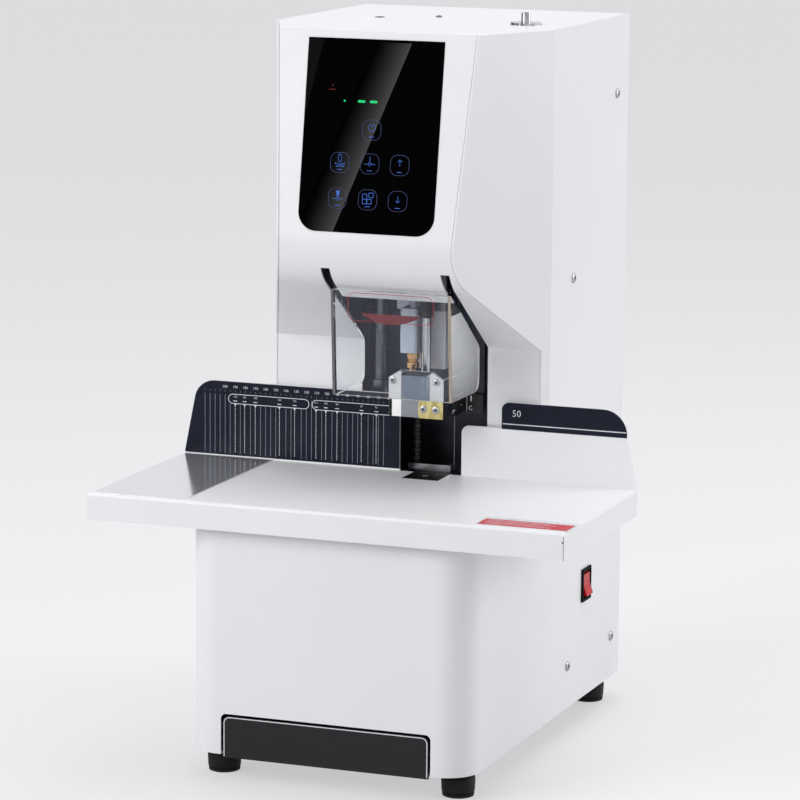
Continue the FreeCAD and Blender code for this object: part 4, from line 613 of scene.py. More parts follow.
class Finishes:
    """All finishes of the machine."""

    cover = Paint("cover_white", screen(238, 238, 240), screen(233, 233, 236))
    table = Paint("table_white", screen(240, 240, 242), screen(235, 235, 238), gloss=(0.32, 0.4))
    # Painted shade: the dark liner grows lighter towards its top.
    liner_painted_shade = ShadeFade("throat_liner_painted_shade", screen(98, 106, 130), screen(24, 27, 34), "Z",
                        span=(0.2, 0.75), gloss=0.36, metallic=0.0, specular=0.2)
    dark_part = Paint("part_dark", screen(30, 30, 33), screen(22, 22, 25), gloss=(0.24, 0.36),
                      specular=0.3, dust=0.02)
    # Painted reflections: broad light and dark bands round the polished rod.
    steel = Metal("drill_steel_painted_reflections", screen(232, 233, 236), screen(58, 60, 66), gloss=(0.1, 0.18),
                  stretch=(1.0, 1.0, 0.02), line_scale=230.0, line_depth=0.000002)
    dark_steel = Metal("blackened_steel", screen(112, 115, 122), screen(88, 91, 98),
                       gloss=(0.2, 0.3))
    # Painted light and shade: the bar is dark at its left end and bright towards its right.
    bar_painted_light_and_shade = ShadeFade("throat_bar_painted_light_and_shade", screen(224, 224, 228), screen(36, 36, 40), "X")
    # Painted reflections: broad light and dark bands round the chrome.
    chrome_painted_reflections = Metal("bright_chrome_painted_reflections", screen(216, 216, 220), screen(52, 53, 58),
                   gloss=(0.08, 0.14), stretch=(1.0, 1.0, 0.02), line_scale=260.0,
                   line_depth=0.000002)
    mirror = Metal("wear_steel", screen(238, 238, 240), screen(226, 226, 229),
                   gloss=(0.1, 0.16), stretch=(1.0, 14.0, 1.0), line_scale=90.0,
                   line_depth=0.000003, metallic=0.8)
    screw = Metal("screw_zinc", screen(200, 201, 204), screen(160, 161, 166), gloss=(0.2, 0.35),
                  stretch=(1.0, 1.0, 1.0), line_scale=300.0)
    zinc = Metal("yellow_zinc", screen(206, 196, 142), screen(178, 164, 104), gloss=(0.14, 0.24),
                 stretch=(3.0, 1.0, 1.0), line_scale=60.0)
    brass = Metal("turned_brass", screen(228, 194, 140), screen(170, 122, 70), gloss=(0.08, 0.16))
    bronze = Metal("bearing_bronze", screen(196, 150, 96), screen(160, 116, 70), gloss=(0.3, 0.45))
    machined = Metal("machined_steel", screen(170, 172, 177), screen(140, 142, 148),
                     gloss=(0.28, 0.42), stretch=(1.0, 20.0, 20.0))
    galvanised = Metal("galvanised_sheet", screen(186, 189, 192), screen(158, 162, 167),
                       gloss=(0.35, 0.5), stretch=(1.0, 1.0, 1.0), line_scale=45.0)
    cast = Grained("cast_grey", screen(120, 124, 128), screen(92, 96, 101), gloss=(0.5, 0.65),
                   grain_scale=500.0, grain_depth=0.0004)
    # Painted light: lighter than the nose's grey-blue, where the block sits in shade behind the
    # nose.
    block = Grained("light_block", screen(240, 244, 250), screen(232, 236, 244),
                    gloss=(0.35, 0.5), grain_scale=700.0)
    nose = Grained("nose_block", screen(168, 177, 190), screen(156, 165, 178),
                   gloss=(0.35, 0.5), grain_scale=700.0)
    rubber = Grained("foot_rubber", screen(15, 15, 17), screen(10, 10, 12), gloss=(0.55, 0.7),
                     grain_scale=700.0, grain_depth=0.0001, specular=0.22)
    black = Grained("black_plastic", screen(26, 26, 28), screen(18, 18, 20), gloss=(0.35, 0.5))
    deep_black = Grained("throat_black", screen(15, 15, 17), screen(9, 9, 11),
                         gloss=(0.6, 0.8), specular=0.08)
    satin_black = Grained("tray_black", screen(27, 27, 29), screen(21, 21, 24), gloss=(0.4, 0.5),
                          grain_scale=420.0, grain_depth=0.00004, specular=0.25)
    nylon = Grained("white_nylon", screen(204, 204, 205), screen(193, 193, 194),
                    gloss=(0.35, 0.5), sheen_through=0.2)
    red = Grained("rocker_red", screen(192, 18, 28), screen(170, 10, 20), gloss=(0.2, 0.3),
                  specular=0.2, sheen_through=0.1)
    glass = Grained("panel_black_glass", screen(2, 2, 3), screen(1, 1, 2), gloss=(0.0, 0.006),
                    grain_scale=60.0, grain_depth=0.0, specular=0.012)
    clear = Clear("clear_guard_sheet", (0.97, 0.98, 0.985))
    clear_foot = Clear("clear_foot_sheet", (0.95, 0.965, 0.97), gloss=(0.04, 0.1),
                       shadow_share=0.35)
    navy = Ink("navy_film", screen(31, 34, 48), screen(27, 30, 42), gloss=(0.04, 0.08),
               specular=0.08)
    # Painted reflection of the bright surround on the guard's side sheet, thinner towards the
    # bottom.
    side_painted_reflection = Haze("side_sheet_painted_reflection", screen(228, 230, 232), cover=(0.74, 0.86),
                      low_share=0.2)
    # Faint haze on the front sheet, partly a painted sheen of the bright surround.
    front_haze_and_sheen = Haze("front_haze_and_painted_sheen", screen(198, 201, 220), cover=(0.028, 0.038))
    milky_rim = Haze("milky_sheet_rim", screen(196, 192, 186), cover=(0.6, 0.75))
    milky_window = Haze("milky_foot_window", screen(148, 150, 158), cover=(0.6, 0.8),
                        gloss=(0.15, 0.25))
    # The bonded corners are one milky bond: painted shade makes the left one grey, painted light
    # makes the right one lighter and warmer.
    corner_band_painted_shade = Haze("bonded_corner_painted_shade", screen(118, 118, 122), cover=(0.6, 0.75))
    corner_band_painted_light = Haze("bonded_corner_painted_light", screen(188, 174, 158), cover=(0.6, 0.72))
    # Painted highlights on the sheets' sawn edges.
    edge_painted_highlight = Haze("sheet_edge_painted_highlight", screen(240, 240, 240), cover=(0.66, 0.78))
    milky_foot = Haze("milky_foot_sheet", screen(236, 236, 238), cover=(0.48, 0.6),
                      gloss=(0.15, 0.25))
    milky_front = Haze("milky_foot_front", screen(124, 136, 154), cover=(0.5, 0.62),
                       gloss=(0.15, 0.25))
    shaded_front = Haze("shaded_foot_front", screen(40, 44, 52), cover=(0.7, 0.85))
    red_haze = Haze("guard_red_field", screen(112, 6, 12), cover=(0.8, 0.9), gloss=(0.4, 0.5))
    # Print; on the tray's front edge and the foot arm it is a painted highlight.
    white_ink = Ink("white_ink", screen(226, 228, 232), screen(205, 208, 214))
    grey_ink = Ink("grey_ink", screen(132, 138, 152), screen(112, 118, 132))
    # Painted shade on the floors of the screw recesses.
    recess = Ink("recess_shade", screen(46, 46, 50), screen(34, 34, 38))
    # Dark joint in the table's seams; painted shade on the left fence's sawn end.
    seam_shade = Ink("seam_shade", screen(126, 128, 134), screen(104, 106, 112))
    blue_light = Ink("blue_light", screen(70, 108, 190), screen(54, 88, 168), glow=0.4,
                     specular=0.04)
    blue_frame = Ink("blue_frame", screen(68, 78, 118), screen(54, 62, 98), glow=0.2,
                     specular=0.04)
    green_light = Ink("green_light", screen(34, 186, 108), screen(24, 166, 94), glow=0.6,
                      specular=0.04)
    red_light = Ink("red_light", screen(84, 12, 16), screen(66, 8, 12), glow=0.1, specular=0.04)
    red_ink = Ink("red_ink", screen(205, 30, 44), screen(188, 22, 36))
    dark_red_ink = Ink("guard_red_ink", screen(172, 24, 32), screen(148, 16, 24))
    circuit = Circuit("circuit_board", screen(20, 90, 60), screen(60, 140, 95))


# Mesh helpers


def box_middle(low: Vector, high: Vector) -> Vector:
    """Give the middle of a box."""
    return (low + high) / 2


def add_piece(name: str, mesh: bpy.types.Mesh, finish: Finish, body: str,
              stands_for: tuple[str, ...] = (), smooth: float = FLAT_ANGLE) -> bpy.types.Object:
    """Put a finished mesh into the scene on one of the machine's bodies.

    Args:
        name: Name of the piece.
        mesh: Its mesh, in metres in the machine's frame.
        finish: Its finish.
        body: Body that it rides on.
        stands_for: Frame nodes that it replaces.
        smooth: Largest angle that is shaded smooth, in degrees.

    Returns:
        The new object.
    """
    mesh.name = name
    mesh.materials.clear()
    mesh.materials.append(finish.material())
    mesh.shade_smooth()
    mesh.set_sharp_from_angle(angle=math.radians(smooth))
    piece = bpy.data.objects.new(name, mesh)
    bpy.context.scene.collection.objects.link(piece)
    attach(piece, body)
    if stands_for:
        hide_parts(*stands_for)
    log.info("%s: %d faces on %s", name, len(mesh.polygons), body)
    return piece


def mesh_of(shape: Shape) -> bpy.types.Mesh:
    """Turn a working shape into a mesh.

    Args:
        shape: The working shape, which is freed.

    Returns:
        The mesh.
    """
    mesh = bpy.data.meshes.new("shape")
    bmesh.ops.recalc_face_normals(shape, faces=shape.faces)
    shape.to_mesh(mesh)
    shape.free()
    return mesh


def dress_node(name: str, finish: Finish, bevel: float = 0.0) -> bpy.types.Object:
    """Give a frame node its finish, and soften its edges where asked.

    Args:
        name: The node's name.
        finish: Its finish.
        bevel: Width of the softened edges in mm, or 0 for none.

    Returns:
        The node's object.
    """
    near, steps = 0.01, 2
    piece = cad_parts[name]
    piece.data.materials.clear()
    piece.data.materials.append(finish.material())
    if bevel:
        weld = piece.modifiers.new("join_corners", "WELD")
        weld.merge_threshold = near * MM
        soften = piece.modifiers.new("soft_edges", "BEVEL")
        soften.width = bevel * MM
        soften.segments = steps
        soften.limit_method = "ANGLE"
        soften.angle_limit = math.radians(FLAT_ANGLE)
        evened = piece.modifiers.new("even_normals", "WEIGHTED_NORMAL")
        evened.keep_sharp = True
    log.info("%s dressed with %s", name, finish.name)
    return piece


def dress_nodes(finishes: dict[str, Finish]) -> None:
    """Give each named frame node its finish."""
    for name, finish in finishes.items():
        dress_node(name, finish)


def solids_of(name: str) -> list[tuple[Vector, Vector]]:
    """Give the boxes of the separate solids of a frame node.

    Args:
        name: The node's name.

    Returns:
        Lowest and highest corner of each solid, from left to right.
    """
    work = bmesh.new()
    work.from_mesh(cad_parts[name].data)
    bmesh.ops.remove_doubles(work, verts=work.verts, dist=MERGE)
    unseen = set(work.verts)
    boxes = []
    while unseen:
        pile = [unseen.pop()]
        members = []
        while pile:
            vertex = pile.pop()
            members.append(vertex.co.copy())
            for edge in vertex.link_edges:
                other = edge.other_vert(vertex)
                if other in unseen:
                    unseen.remove(other)
                    pile.append(other)
        boxes.append((Vector([min(point[axis] for point in members) for axis in range(3)]),
                      Vector([max(point[axis] for point in members) for axis in range(3)])))
    work.free()
    return sorted(boxes, key=lambda pair: tuple(pair[0]))


def front_plane(name: str) -> tuple[Vector, Vector]:
    """Find the largest face of a frame node that looks forward.

    Args:
        name: The node's name.

    Returns:
        A point on the face, and its outward direction.
    """
    least_forward = -0.5
    best = {}
    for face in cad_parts[name].data.polygons:
        if face.normal.y < least_forward:
            key = tuple(round(value, 2) for value in face.normal)
            area, _, _ = best.get(key, (0.0, None, None))
            best[key] = (area + face.area, face.center.copy(), face.normal.copy())
    _, point, facing = max(best.values(), key=lambda entry: entry[0])
    return point, facing


def arc_points(middle: Spot, radius: float, start: float, sweep: float,
               steps: int) -> list[Spot]:
    """Give points along an arc.

    Args:
        middle: The arc's middle.
        radius: Its radius.
        start: Angle of its first point, in degrees.
        sweep: Angle that it covers, in degrees.
        steps: Number of pieces.

    Returns:
        The points.
    """
    return [(middle[0] + radius * math.cos(math.radians(start + sweep * step / steps)),
             middle[1] + radius * math.sin(math.radians(start + sweep * step / steps)))
            for step in range(steps + 1)]


def rounded_outline(wide: float, tall: float, corner: float, steps: int = 6) -> list[Spot]:
    """Give the outline of a rectangle with round corners, around its middle.

    Args:
        wide: Width.
        tall: Height.
        corner: Corner radius.
        steps: Pieces per corner.

    Returns:
        The outline's points, counterclockwise.
    """
    x, y = wide / 2 - corner, tall / 2 - corner
    corners = [((x, y), 0), ((-x, y), 90), ((-x, -y), 180), ((x, -y), 270)]
    return [point for middle, start in corners
            for point in arc_points(middle, corner, start, 90, steps)]


def lathe(profile: list[Spot], around: Vector, along: Vector = UP, segments: int = 48) -> Shape:
    """Turn a profile of radius and length into a round piece.

    Args:
        profile: Pairs of radius and distance along the axis, in mm.
        around: Where the axis starts, in metres.
        along: The axis's direction.
        segments: Number of sides.

    Returns:
        The working shape, in metres.
    """
    shape = bmesh.new()
    turn = UP.rotation_difference(along).to_matrix().to_4x4()
    seat = Matrix.Translation(around) @ turn
    rings = []
    for radius, length in profile:
        ring = [shape.verts.new(seat @ Vector((radius * MM * math.cos(angle),
                                               radius * MM * math.sin(angle), length * MM)))
                for angle in (2 * math.pi * side / segments for side in range(segments))]
        rings.append(ring)
    for lower, upper in zip(rings, rings[1:]):
        for side in range(segments):
            following = (side + 1) % segments
            shape.faces.new((lower[side], lower[following], upper[following], upper[side]))
    shape.faces.new(reversed(rings[0]))
    shape.faces.new(rings[-1])
    return shape


def slab(outline: list[Spot], depth: float, seat: Matrix) -> Shape:
    """Raise an outline into a plate.

    Args:
        outline: Points of the outline, in mm.
        depth: Height of the plate along the seat's Z, in mm.
        seat: Where the outline lies, in metres.

    Returns:
        The working shape.
    """
    shape = bmesh.new()
    base = shape.faces.new([shape.verts.new((x * MM, y * MM, 0)) for x, y in outline])
    lifted = bmesh.ops.extrude_face_region(shape, geom=[base])["geom"]
    tops = [item for item in lifted if isinstance(item, bmesh.types.BMVert)]
    bmesh.ops.translate(shape, verts=tops, vec=(0, 0, depth * MM))
    bmesh.ops.transform(shape, matrix=seat, verts=shape.verts)
    return shape


def joined(shapes: list[Shape]) -> Shape:
    """Put several working shapes into one.

    Args:
        shapes: The shapes, which are freed.

    Returns:
        One shape with all of them.
    """
    whole = bmesh.new()
    for shape in shapes:
        mesh = bpy.data.meshes.new("shape_part")
        bmesh.ops.recalc_face_normals(shape, faces=shape.faces)
        shape.to_mesh(mesh)
        shape.free()
        whole.from_mesh(mesh)
        bpy.data.meshes.remove(mesh)
    return whole


def carved(body: Shape, tool: Shape) -> Shape:
    """Cut one closed shape out of another.

    Args:
        body: The shape that is cut.
        tool: The shape that is taken away.

    Returns:
        What is left.
    """
    pair = []
    for shape in (body, tool):
        thing = bpy.data.objects.new("carving", mesh_of(shape))
        bpy.context.scene.collection.objects.link(thing)
        pair.append(thing)
    cut = pair[0].modifiers.new("cut", "BOOLEAN")
    cut.object = pair[1]
    cut.solver = "EXACT"
    graph = bpy.context.evaluated_depsgraph_get()
    result = bmesh.new()
    result.from_mesh(pair[0].evaluated_get(graph).to_mesh())
    for thing in pair:
        mesh = thing.data
        bpy.data.objects.remove(thing)
        bpy.data.meshes.remove(mesh)
    return result


@dataclass
class ScrewHead:
    """Round screw head with a cross recess."""

    radius: float
    height: float
    turn: float = 20.0
    recess_share: float = 0.6
    slot_share: float = 0.17
    recess_depth_share: float = 0.45
    rim_share: float = 0.35
    dome_steps: int = 5
    dome_sweep: float = 78.0
    shade_height: float = 0.05

    def stand(self, seat: Vector, along: Vector) -> Matrix:
        """Give the place and turn of the recess.

        Args:
            seat: Middle of the head's underside, in metres.
            along: Direction that the head looks.

        Returns:
            The recess's matrix, before its own height.
        """
        lean = UP.rotation_difference(along).to_matrix().to_4x4()
        turn = Matrix.Rotation(math.radians(self.turn), 4, "Z")
        lift = Matrix.Translation((0, 0, self.height * (1 - self.recess_depth_share) * MM))
        return Matrix.Translation(seat) @ lean @ turn @ lift

    def cross(self) -> list[Spot]:
        """Give the outline of the recess.

        Returns:
            The cross's points.
        """
        arm = self.radius * self.recess_share
        slot = self.radius * self.slot_share
        return [(-arm, -slot), (-slot, -slot), (-slot, -arm), (slot, -arm), (slot, -slot),
                (arm, -slot), (arm, slot), (slot, slot), (slot, arm), (-slot, arm),
                (-slot, slot), (-arm, slot)]

    def head(self, seat: Vector, along: Vector) -> Shape:
        """Build the head.

        Args:
            seat: Middle of its underside, in metres.
            along: Direction that the head looks.

        Returns:
            The working shape.
        """
        rim = self.rim_share
        profile = [(self.radius, 0.0), (self.radius, self.height * rim)]
        for step in range(1, self.dome_steps + 1):
            angle = math.radians(self.dome_sweep * step / self.dome_steps)
            profile.append((self.radius * math.cos(angle),
                            self.height * (rim + (1 - rim) * math.sin(angle))))
        tool = slab(self.cross(), self.height, self.stand(seat, along))
        return carved(lathe(profile, seat, along), tool)

    def shade(self, seat: Vector, along: Vector) -> Shape:
        """Build the painted shade on the floor of the recess.

        Args:
            seat: Middle of the head's underside, in metres.
            along: Direction that the head looks.

        Returns:
            The working shape.
        """
        return slab(self.cross(), self.shade_height, self.stand(seat, along))


@dataclass
class ScrewSet:
    """Several screw heads of one kind, with painted shade on the floors of their recesses."""

    name: str
    body: str
    node: str
    heads: list[Shape] = field(default_factory=list)
    shades: list[Shape] = field(default_factory=list)

    def put(self, screw: ScrewHead, seat: Vector, along: Vector) -> None:
        """Add a head.

        Args:
            screw: Its shape.
            seat: Middle of its underside, in metres.
            along: Direction that it looks.
        """
        self.heads.append(screw.head(seat, along))
        self.shades.append(screw.shade(seat, along))

    def finish(self, metal: Finish) -> None:
        """Put the heads and the painted shade of the recess floors into the scene.

        Args:
            metal: Finish of the heads.
        """
        add_piece(self.name, mesh_of(joined(self.heads)), metal, self.body,
                  (self.node,))
        # The recess floors are painted shade.
        add_piece(self.name + "_recess_painted_shade", mesh_of(joined(self.shades)), Finishes.recess,
                  self.body)


def skin_of(name: str, chosen: list[int], lift: float = 0.02,
            thick: float = 0.04) -> Shape:
    """Lay a thin closed skin over faces of a frame node.

    Args:
        name: The node's name.
        chosen: Indices of the faces.
        lift: Gap between the face and the skin, in mm.
        thick: The skin's thickness, in mm.

    Returns:
        The working shape.
    """
    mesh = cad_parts[name].data
    planes = {}
    for index in chosen:
        facing = mesh.polygons[index].normal
        planes.setdefault(tuple(round(value, 3) for value in facing), []).append(index)
    layers = []
    for members in planes.values():
        layer = bmesh.new()
        facing = mesh.polygons[members[0]].normal
        for index in members:
            layer.faces.new([layer.verts.new(mesh.vertices[corner].co + facing * (lift * MM))
                             for corner in mesh.polygons[index].vertices])
        bmesh.ops.remove_doubles(layer, verts=layer.verts, dist=MERGE)
        thickened(layer, facing * (thick * MM))
        layers.append(layer)
    return joined(layers)


def thickened(shape: Shape, step: Vector) -> None:
    """Turn flat faces into thin closed plates.

    Args:
        shape: The shape with the faces, which is changed.
        step: How far the second side lies from the first.
    """
    lifted = bmesh.ops.extrude_face_region(shape, geom=shape.faces[:])["geom"]
    moved = [item for item in lifted if isinstance(item, bmesh.types.BMVert)]
    bmesh.ops.translate(shape, verts=moved, vec=step)


@dataclass
class PrintPlane:
    """Flat place for printed marks, drawn in mm from its origin."""

    origin: Vector
    across: Vector
    up: Vector
    lift: float = 0.02
    thick: float = 0.04
    shape: Shape = field(default_factory=bmesh.new)

    def facing(self) -> Vector:
        """Give the direction that the print looks."""
        return self.across.cross(self.up)

    def point(self, spot: Spot) -> Vector:
        """Give a point of the print's underside in the machine's frame."""
        return (self.origin + self.across * (spot[0] * MM) + self.up * (spot[1] * MM)
                + self.facing() * (self.lift * MM))

    def area(self, outline: list[Spot]) -> None:
        """Print a filled outline."""
        self.shape.faces.new([self.shape.verts.new(self.point(spot)) for spot in outline])

    def line(self, start: Spot, end: Spot, thick: float) -> None:
        """Print a straight line.

        Args:
            start: Where it starts.
            end: Where it ends.
            thick: Its thickness.
        """
        run = Vector((end[0] - start[0], end[1] - start[1]))
        side = Vector((-run.y, run.x)).normalized() * (thick / 2)
        self.area([(start[0] - side.x, start[1] - side.y), (end[0] - side.x, end[1] - side.y),
                   (end[0] + side.x, end[1] + side.y), (start[0] + side.x, start[1] + side.y)])

    def band(self, outer: list[Spot], inner: list[Spot], closed: bool = True) -> None:
        """Print the band between two lines of equal point count.

        Args:
            outer: Outer points.
            inner: Inner points.
            closed: Whether the band closes on itself.
        """
        far = [self.shape.verts.new(self.point(spot)) for spot in outer]
        near = [self.shape.verts.new(self.point(spot)) for spot in inner]
        count = len(far) if closed else len(far) - 1
        for index in range(count):
            after = (index + 1) % len(far)
            self.shape.faces.new((far[index], far[after], near[after], near[index]))

    def frame(self, middle: Spot, wide: float, tall: float, corner: float, thick: float) -> None:
        """Print a rounded rectangle's outline.

        Args:
            middle: Its middle.
            wide: Outer width.
            tall: Outer height.
            corner: Outer corner radius.
            thick: Line thickness.
        """
        outer = rounded_outline(wide, tall, corner)
        inner = rounded_outline(wide - 2 * thick, tall - 2 * thick, corner - thick)
        self.band([(x + middle[0], y + middle[1]) for x, y in outer],
                  [(x + middle[0], y + middle[1]) for x, y in inner])

    def ring(self, middle: Spot, radius: float, thick: float, start: float = 0.0,
             sweep: float = 360.0) -> None:
        """Print a ring or part of one.

        Args:
            middle: Its middle.
            radius: Outer radius.
            thick: Line thickness.
            start: Angle of its start, in degrees.
            sweep: Angle that it covers, in degrees.
        """
        steps = 24
        self.band(arc_points(middle, radius, start, sweep, steps),
                  arc_points(middle, radius - thick, start, sweep, steps), closed=False)

    def disc(self, middle: Spot, radius: float) -> None:
        """Print a filled disc."""
        corners = 36
        self.area(arc_points(middle, radius, 0, 360 - 360 / corners, corners - 1))

    def number(self, text: str, middle: Spot, tall: float) -> None:
        """Print a plain number.

        Args:
            text: The digits.
            middle: Middle of the number.
            tall: Height of the letters' box.
        """
        curve = bpy.data.curves.new("digits", "FONT")
        curve.body = text
        curve.size = tall
        curve.align_x = "CENTER"
        curve.align_y = "CENTER"
        curve.resolution_u = 2
        writer = bpy.data.objects.new("digits", curve)
        bpy.context.scene.collection.objects.link(writer)
        graph = bpy.context.evaluated_depsgraph_get()
        flat = writer.evaluated_get(graph).to_mesh()
        corners = [self.shape.verts.new(self.point((middle[0] + vertex.co.x,
                                                    middle[1] + vertex.co.y)))
                   for vertex in flat.vertices]
        for face in flat.polygons:
            self.shape.faces.new([corners[index] for index in face.vertices])
        bpy.data.objects.remove(writer)
        bpy.data.curves.remove(curve)

    def finish(self, name: str, ink: Finish, body: str, slot: str) -> bpy.types.Object:
        """Put the printed marks into the scene.

        Args:
            name: Name of the print.
            ink: Its ink.
            body: Body that it rides on.
            slot: Not used.

        Returns:
            The print's object.
        """
        bmesh.ops.remove_doubles(self.shape, verts=self.shape.verts, dist=MERGE)
        thickened(self.shape, self.facing() * (self.thick * MM))
        return add_piece(name, mesh_of(self.shape), ink, body)


def front_print(depth: float) -> PrintPlane:
    """Give a place for prints that look forward, drawn in X and Z, at a depth in metres."""
    return PrintPlane(BACK * depth, RIGHT, UP)


def tilted_axes(facing: Vector) -> tuple[Vector, Vector]:
    """Give the directions across and up a face that leans forward or back.

    Args:
        facing: Direction that the face looks.

    Returns:
        Its directions to the right and upward.
    """
    up = facing.cross(RIGHT).normalized()
    if up.z < 0:
        up.negate()
    return RIGHT, up


# Sub-assemblies


@dataclass
class Studio:
    """Pale floor, soft lamps and the camera at the photograph's angle."""

    camera_place: Place = (1211.1, -3213.4, 918.3)
    camera_target: Place = (0.0, -27.4, 316.49)
    camera_roll: float = 0.466
    lens: float = 174.13
    sensor: float = 36.0
    far_end: float = 100.0
    floor_size: float = 30000.0
    floor_colour: Colour = (0.62, 0.62, 0.63)
    floor_seen: Colour = (0.35, 0.35, 0.355)
    floor_pale: Colour = (0.48, 0.48, 0.485)
    floor_drop: float = 0.05
    floor_rough: float = 0.8
    world_light: float = 0.52
    world_seen: float = 0.86
    world_colour: Colour = (0.97, 0.98, 1.0)
    streak_edge: tuple[Spot, Spot] = ((33.0, 641.0), (-30.0, 477.0))
    streak_width: float = 34.0
    streak_reach: float = 1500.0
    streak_light: float = 60.0
    streak_fall: float = 2.0
    lamps: tuple[tuple[str, Place, float, float], ...] = (
        ("key", (-2000, -2500, 1900), 2000, 61.0), ("side", (2500, 1400, 1100), 1600, 31.0),
        ("top", (300, 400, 2800), 1800, 23.0))
    lamp_aim: Place = (0, 0, 350)

    def build(self) -> None:
        """Make the world, the floor, the lamps and the camera."""
        self.make_world()
        self.make_floor()
        self.make_lamps()
        self.make_camera()
        self.make_streak()
        bpy.context.scene.view_settings.view_transform = "Standard"

    def make_world(self) -> None:
        """Give an even, pale surround that the camera sees as nearly white."""
        world = bpy.data.worlds.new("surround")
        bpy.context.scene.world = world
        world.use_nodes = True
        wiring = Wiring(world.node_tree)
        background = world.node_tree.nodes["Background"]
        background.inputs["Color"].default_value = (*self.world_colour, 1)
        wiring.link(wiring.spread(wiring.sight(), self.world_light, self.world_seen),
                    background.inputs["Strength"])

    def make_floor(self) -> None:
        """Lay a large plain floor that looks paler than it lights."""
        half = self.floor_size / 2 * MM
        mesh = bpy.data.meshes.new("floor")
        mesh.from_pydata([(-half, -half, 0), (half, -half, 0), (half, half, 0), (-half, half, 0)],
                         [], [(0, 1, 2, 3)])
        floor = bpy.data.objects.new("floor", mesh)
        bpy.context.scene.collection.objects.link(floor)
        floor.location.z = -self.floor_drop * MM
        made = bpy.data.materials.new("studio_floor")
        made.use_nodes = True
        wiring = Wiring(made.node_tree)
        shader = made.node_tree.nodes["Principled BSDF"]
        seen = wiring.sight()
        wiring.link(wiring.blend(seen, self.floor_colour, self.floor_seen),
                    shader.inputs["Base Color"])
        wiring.link(wiring.blend(seen, (0, 0, 0), self.floor_pale),
                    shader.inputs["Emission Color"])
        shader.inputs["Emission Strength"].default_value = 1.0
        shader.inputs["Roughness"].default_value = self.floor_rough
        mesh.materials.append(made)

    def make_lamps(self) -> None:
        """Hang the soft lamps: one over the left front, one on the right, one above."""
        for name, place, wide, power in self.lamps:
            light = bpy.data.lights.new(name, "AREA")
            light.size = wide * MM
            light.energy = power
            lamp = bpy.data.objects.new(name, light)
            bpy.context.scene.collection.objects.link(lamp)
            lamp.location = Vector(place) * MM
            aim = Vector(self.lamp_aim) * MM - lamp.location
            lamp.rotation_euler = aim.to_track_quat("-Z", "Y").to_euler()

    def make_camera(self) -> None:
        """Set the camera at the photograph's angle."""
        data = bpy.data.cameras.new("camera")
        data.lens = self.lens
        data.sensor_width = self.sensor
        data.clip_end = self.far_end
        camera = bpy.data.objects.new("camera", data)
        bpy.context.scene.collection.objects.link(camera)
        place = Vector(self.camera_place) * MM
        back = (place - Vector(self.camera_target) * MM).normalized()
        right = UP.cross(back).normalized()
        up = back.cross(right)
        roll = math.radians(self.camera_roll)
        right, up = (right * math.cos(roll) + up * math.sin(roll),
                     up * math.cos(roll) - right * math.sin(roll))
        stance = Matrix((right, up, back)).transposed().to_4x4()
        camera.matrix_world = Matrix.Translation(place) @ stance
        bpy.context.scene.camera = camera

    def make_streak(self) -> None:
        """Hang a narrow light card that the panel's glass mirrors as a slanting streak."""
        point, facing = front_plane("panel_glass")
        eye = bpy.context.scene.camera.matrix_world.translation
        sight = (point - eye).normalized()
        bounce = sight - facing * (2 * sight.dot(facing))
        middle = point + bounce * (self.streak_reach * MM)
        mirrored_eye = eye - facing * (2 * (eye - point).dot(facing))
        (top_x, top_z), (low_x, low_z) = self.streak_edge
        spots = [(top_x, top_z), (low_x, low_z), (low_x - self.streak_width, low_z),
                 (top_x - self.streak_width, top_z)]
        corners = []
        for x, z in spots:
            depth = point.y - (z * MM - point.z) * facing.z / facing.y
            on_glass = Vector((x * MM, depth, z * MM))
            ray = on_glass - mirrored_eye
            reach = (middle - on_glass).dot(bounce) / ray.dot(bounce)
            corners.append(on_glass + ray * reach)
        mesh = bpy.data.meshes.new("light_card")
        mesh.from_pydata([tuple(corner) for corner in corners], [], [(0, 1, 2, 3)])
        places = mesh.uv_layers.new(name="across")
        for loop, share in zip(places.data, ((1, 0), (1, 1), (0, 1), (0, 0))):
            loop.uv = share
        card = bpy.data.objects.new("light_card", mesh)
        bpy.context.scene.collection.objects.link(card)
        mesh.materials.append(self.streak_material())
        for ray_kind in ("camera", "diffuse", "shadow", "transmission", "volume_scatter"):
            setattr(card, f"visible_{ray_kind}", False)

    def streak_material(self) -> bpy.types.Material:
        """Make a light that fades from one long edge to the other.

        Returns:
            The material.
        """
        made = bpy.data.materials.new("streak_light")
        made.use_nodes = True
        wiring = Wiring(made.node_tree)
        shader = made.node_tree.nodes["Principled BSDF"]
        where = wiring.add("ShaderNodeTexCoord")
        parts = wiring.add("ShaderNodeSeparateXYZ")
        wiring.link(where.outputs["UV"], parts.inputs["Vector"])
        fade = wiring.add("ShaderNodeMath", operation="POWER")
        fade.inputs[1].default_value = self.streak_fall
        wiring.link(parts.outputs["X"], fade.inputs[0])
        shader.inputs["Base Color"].default_value = (0, 0, 0, 1)
        wiring.link(wiring.blend(fade.outputs["Value"], (0, 0, 0), (1, 1, 1)),
                    shader.inputs["Emission Color"])
        shader.inputs["Emission Strength"].default_value = self.streak_light
        return made


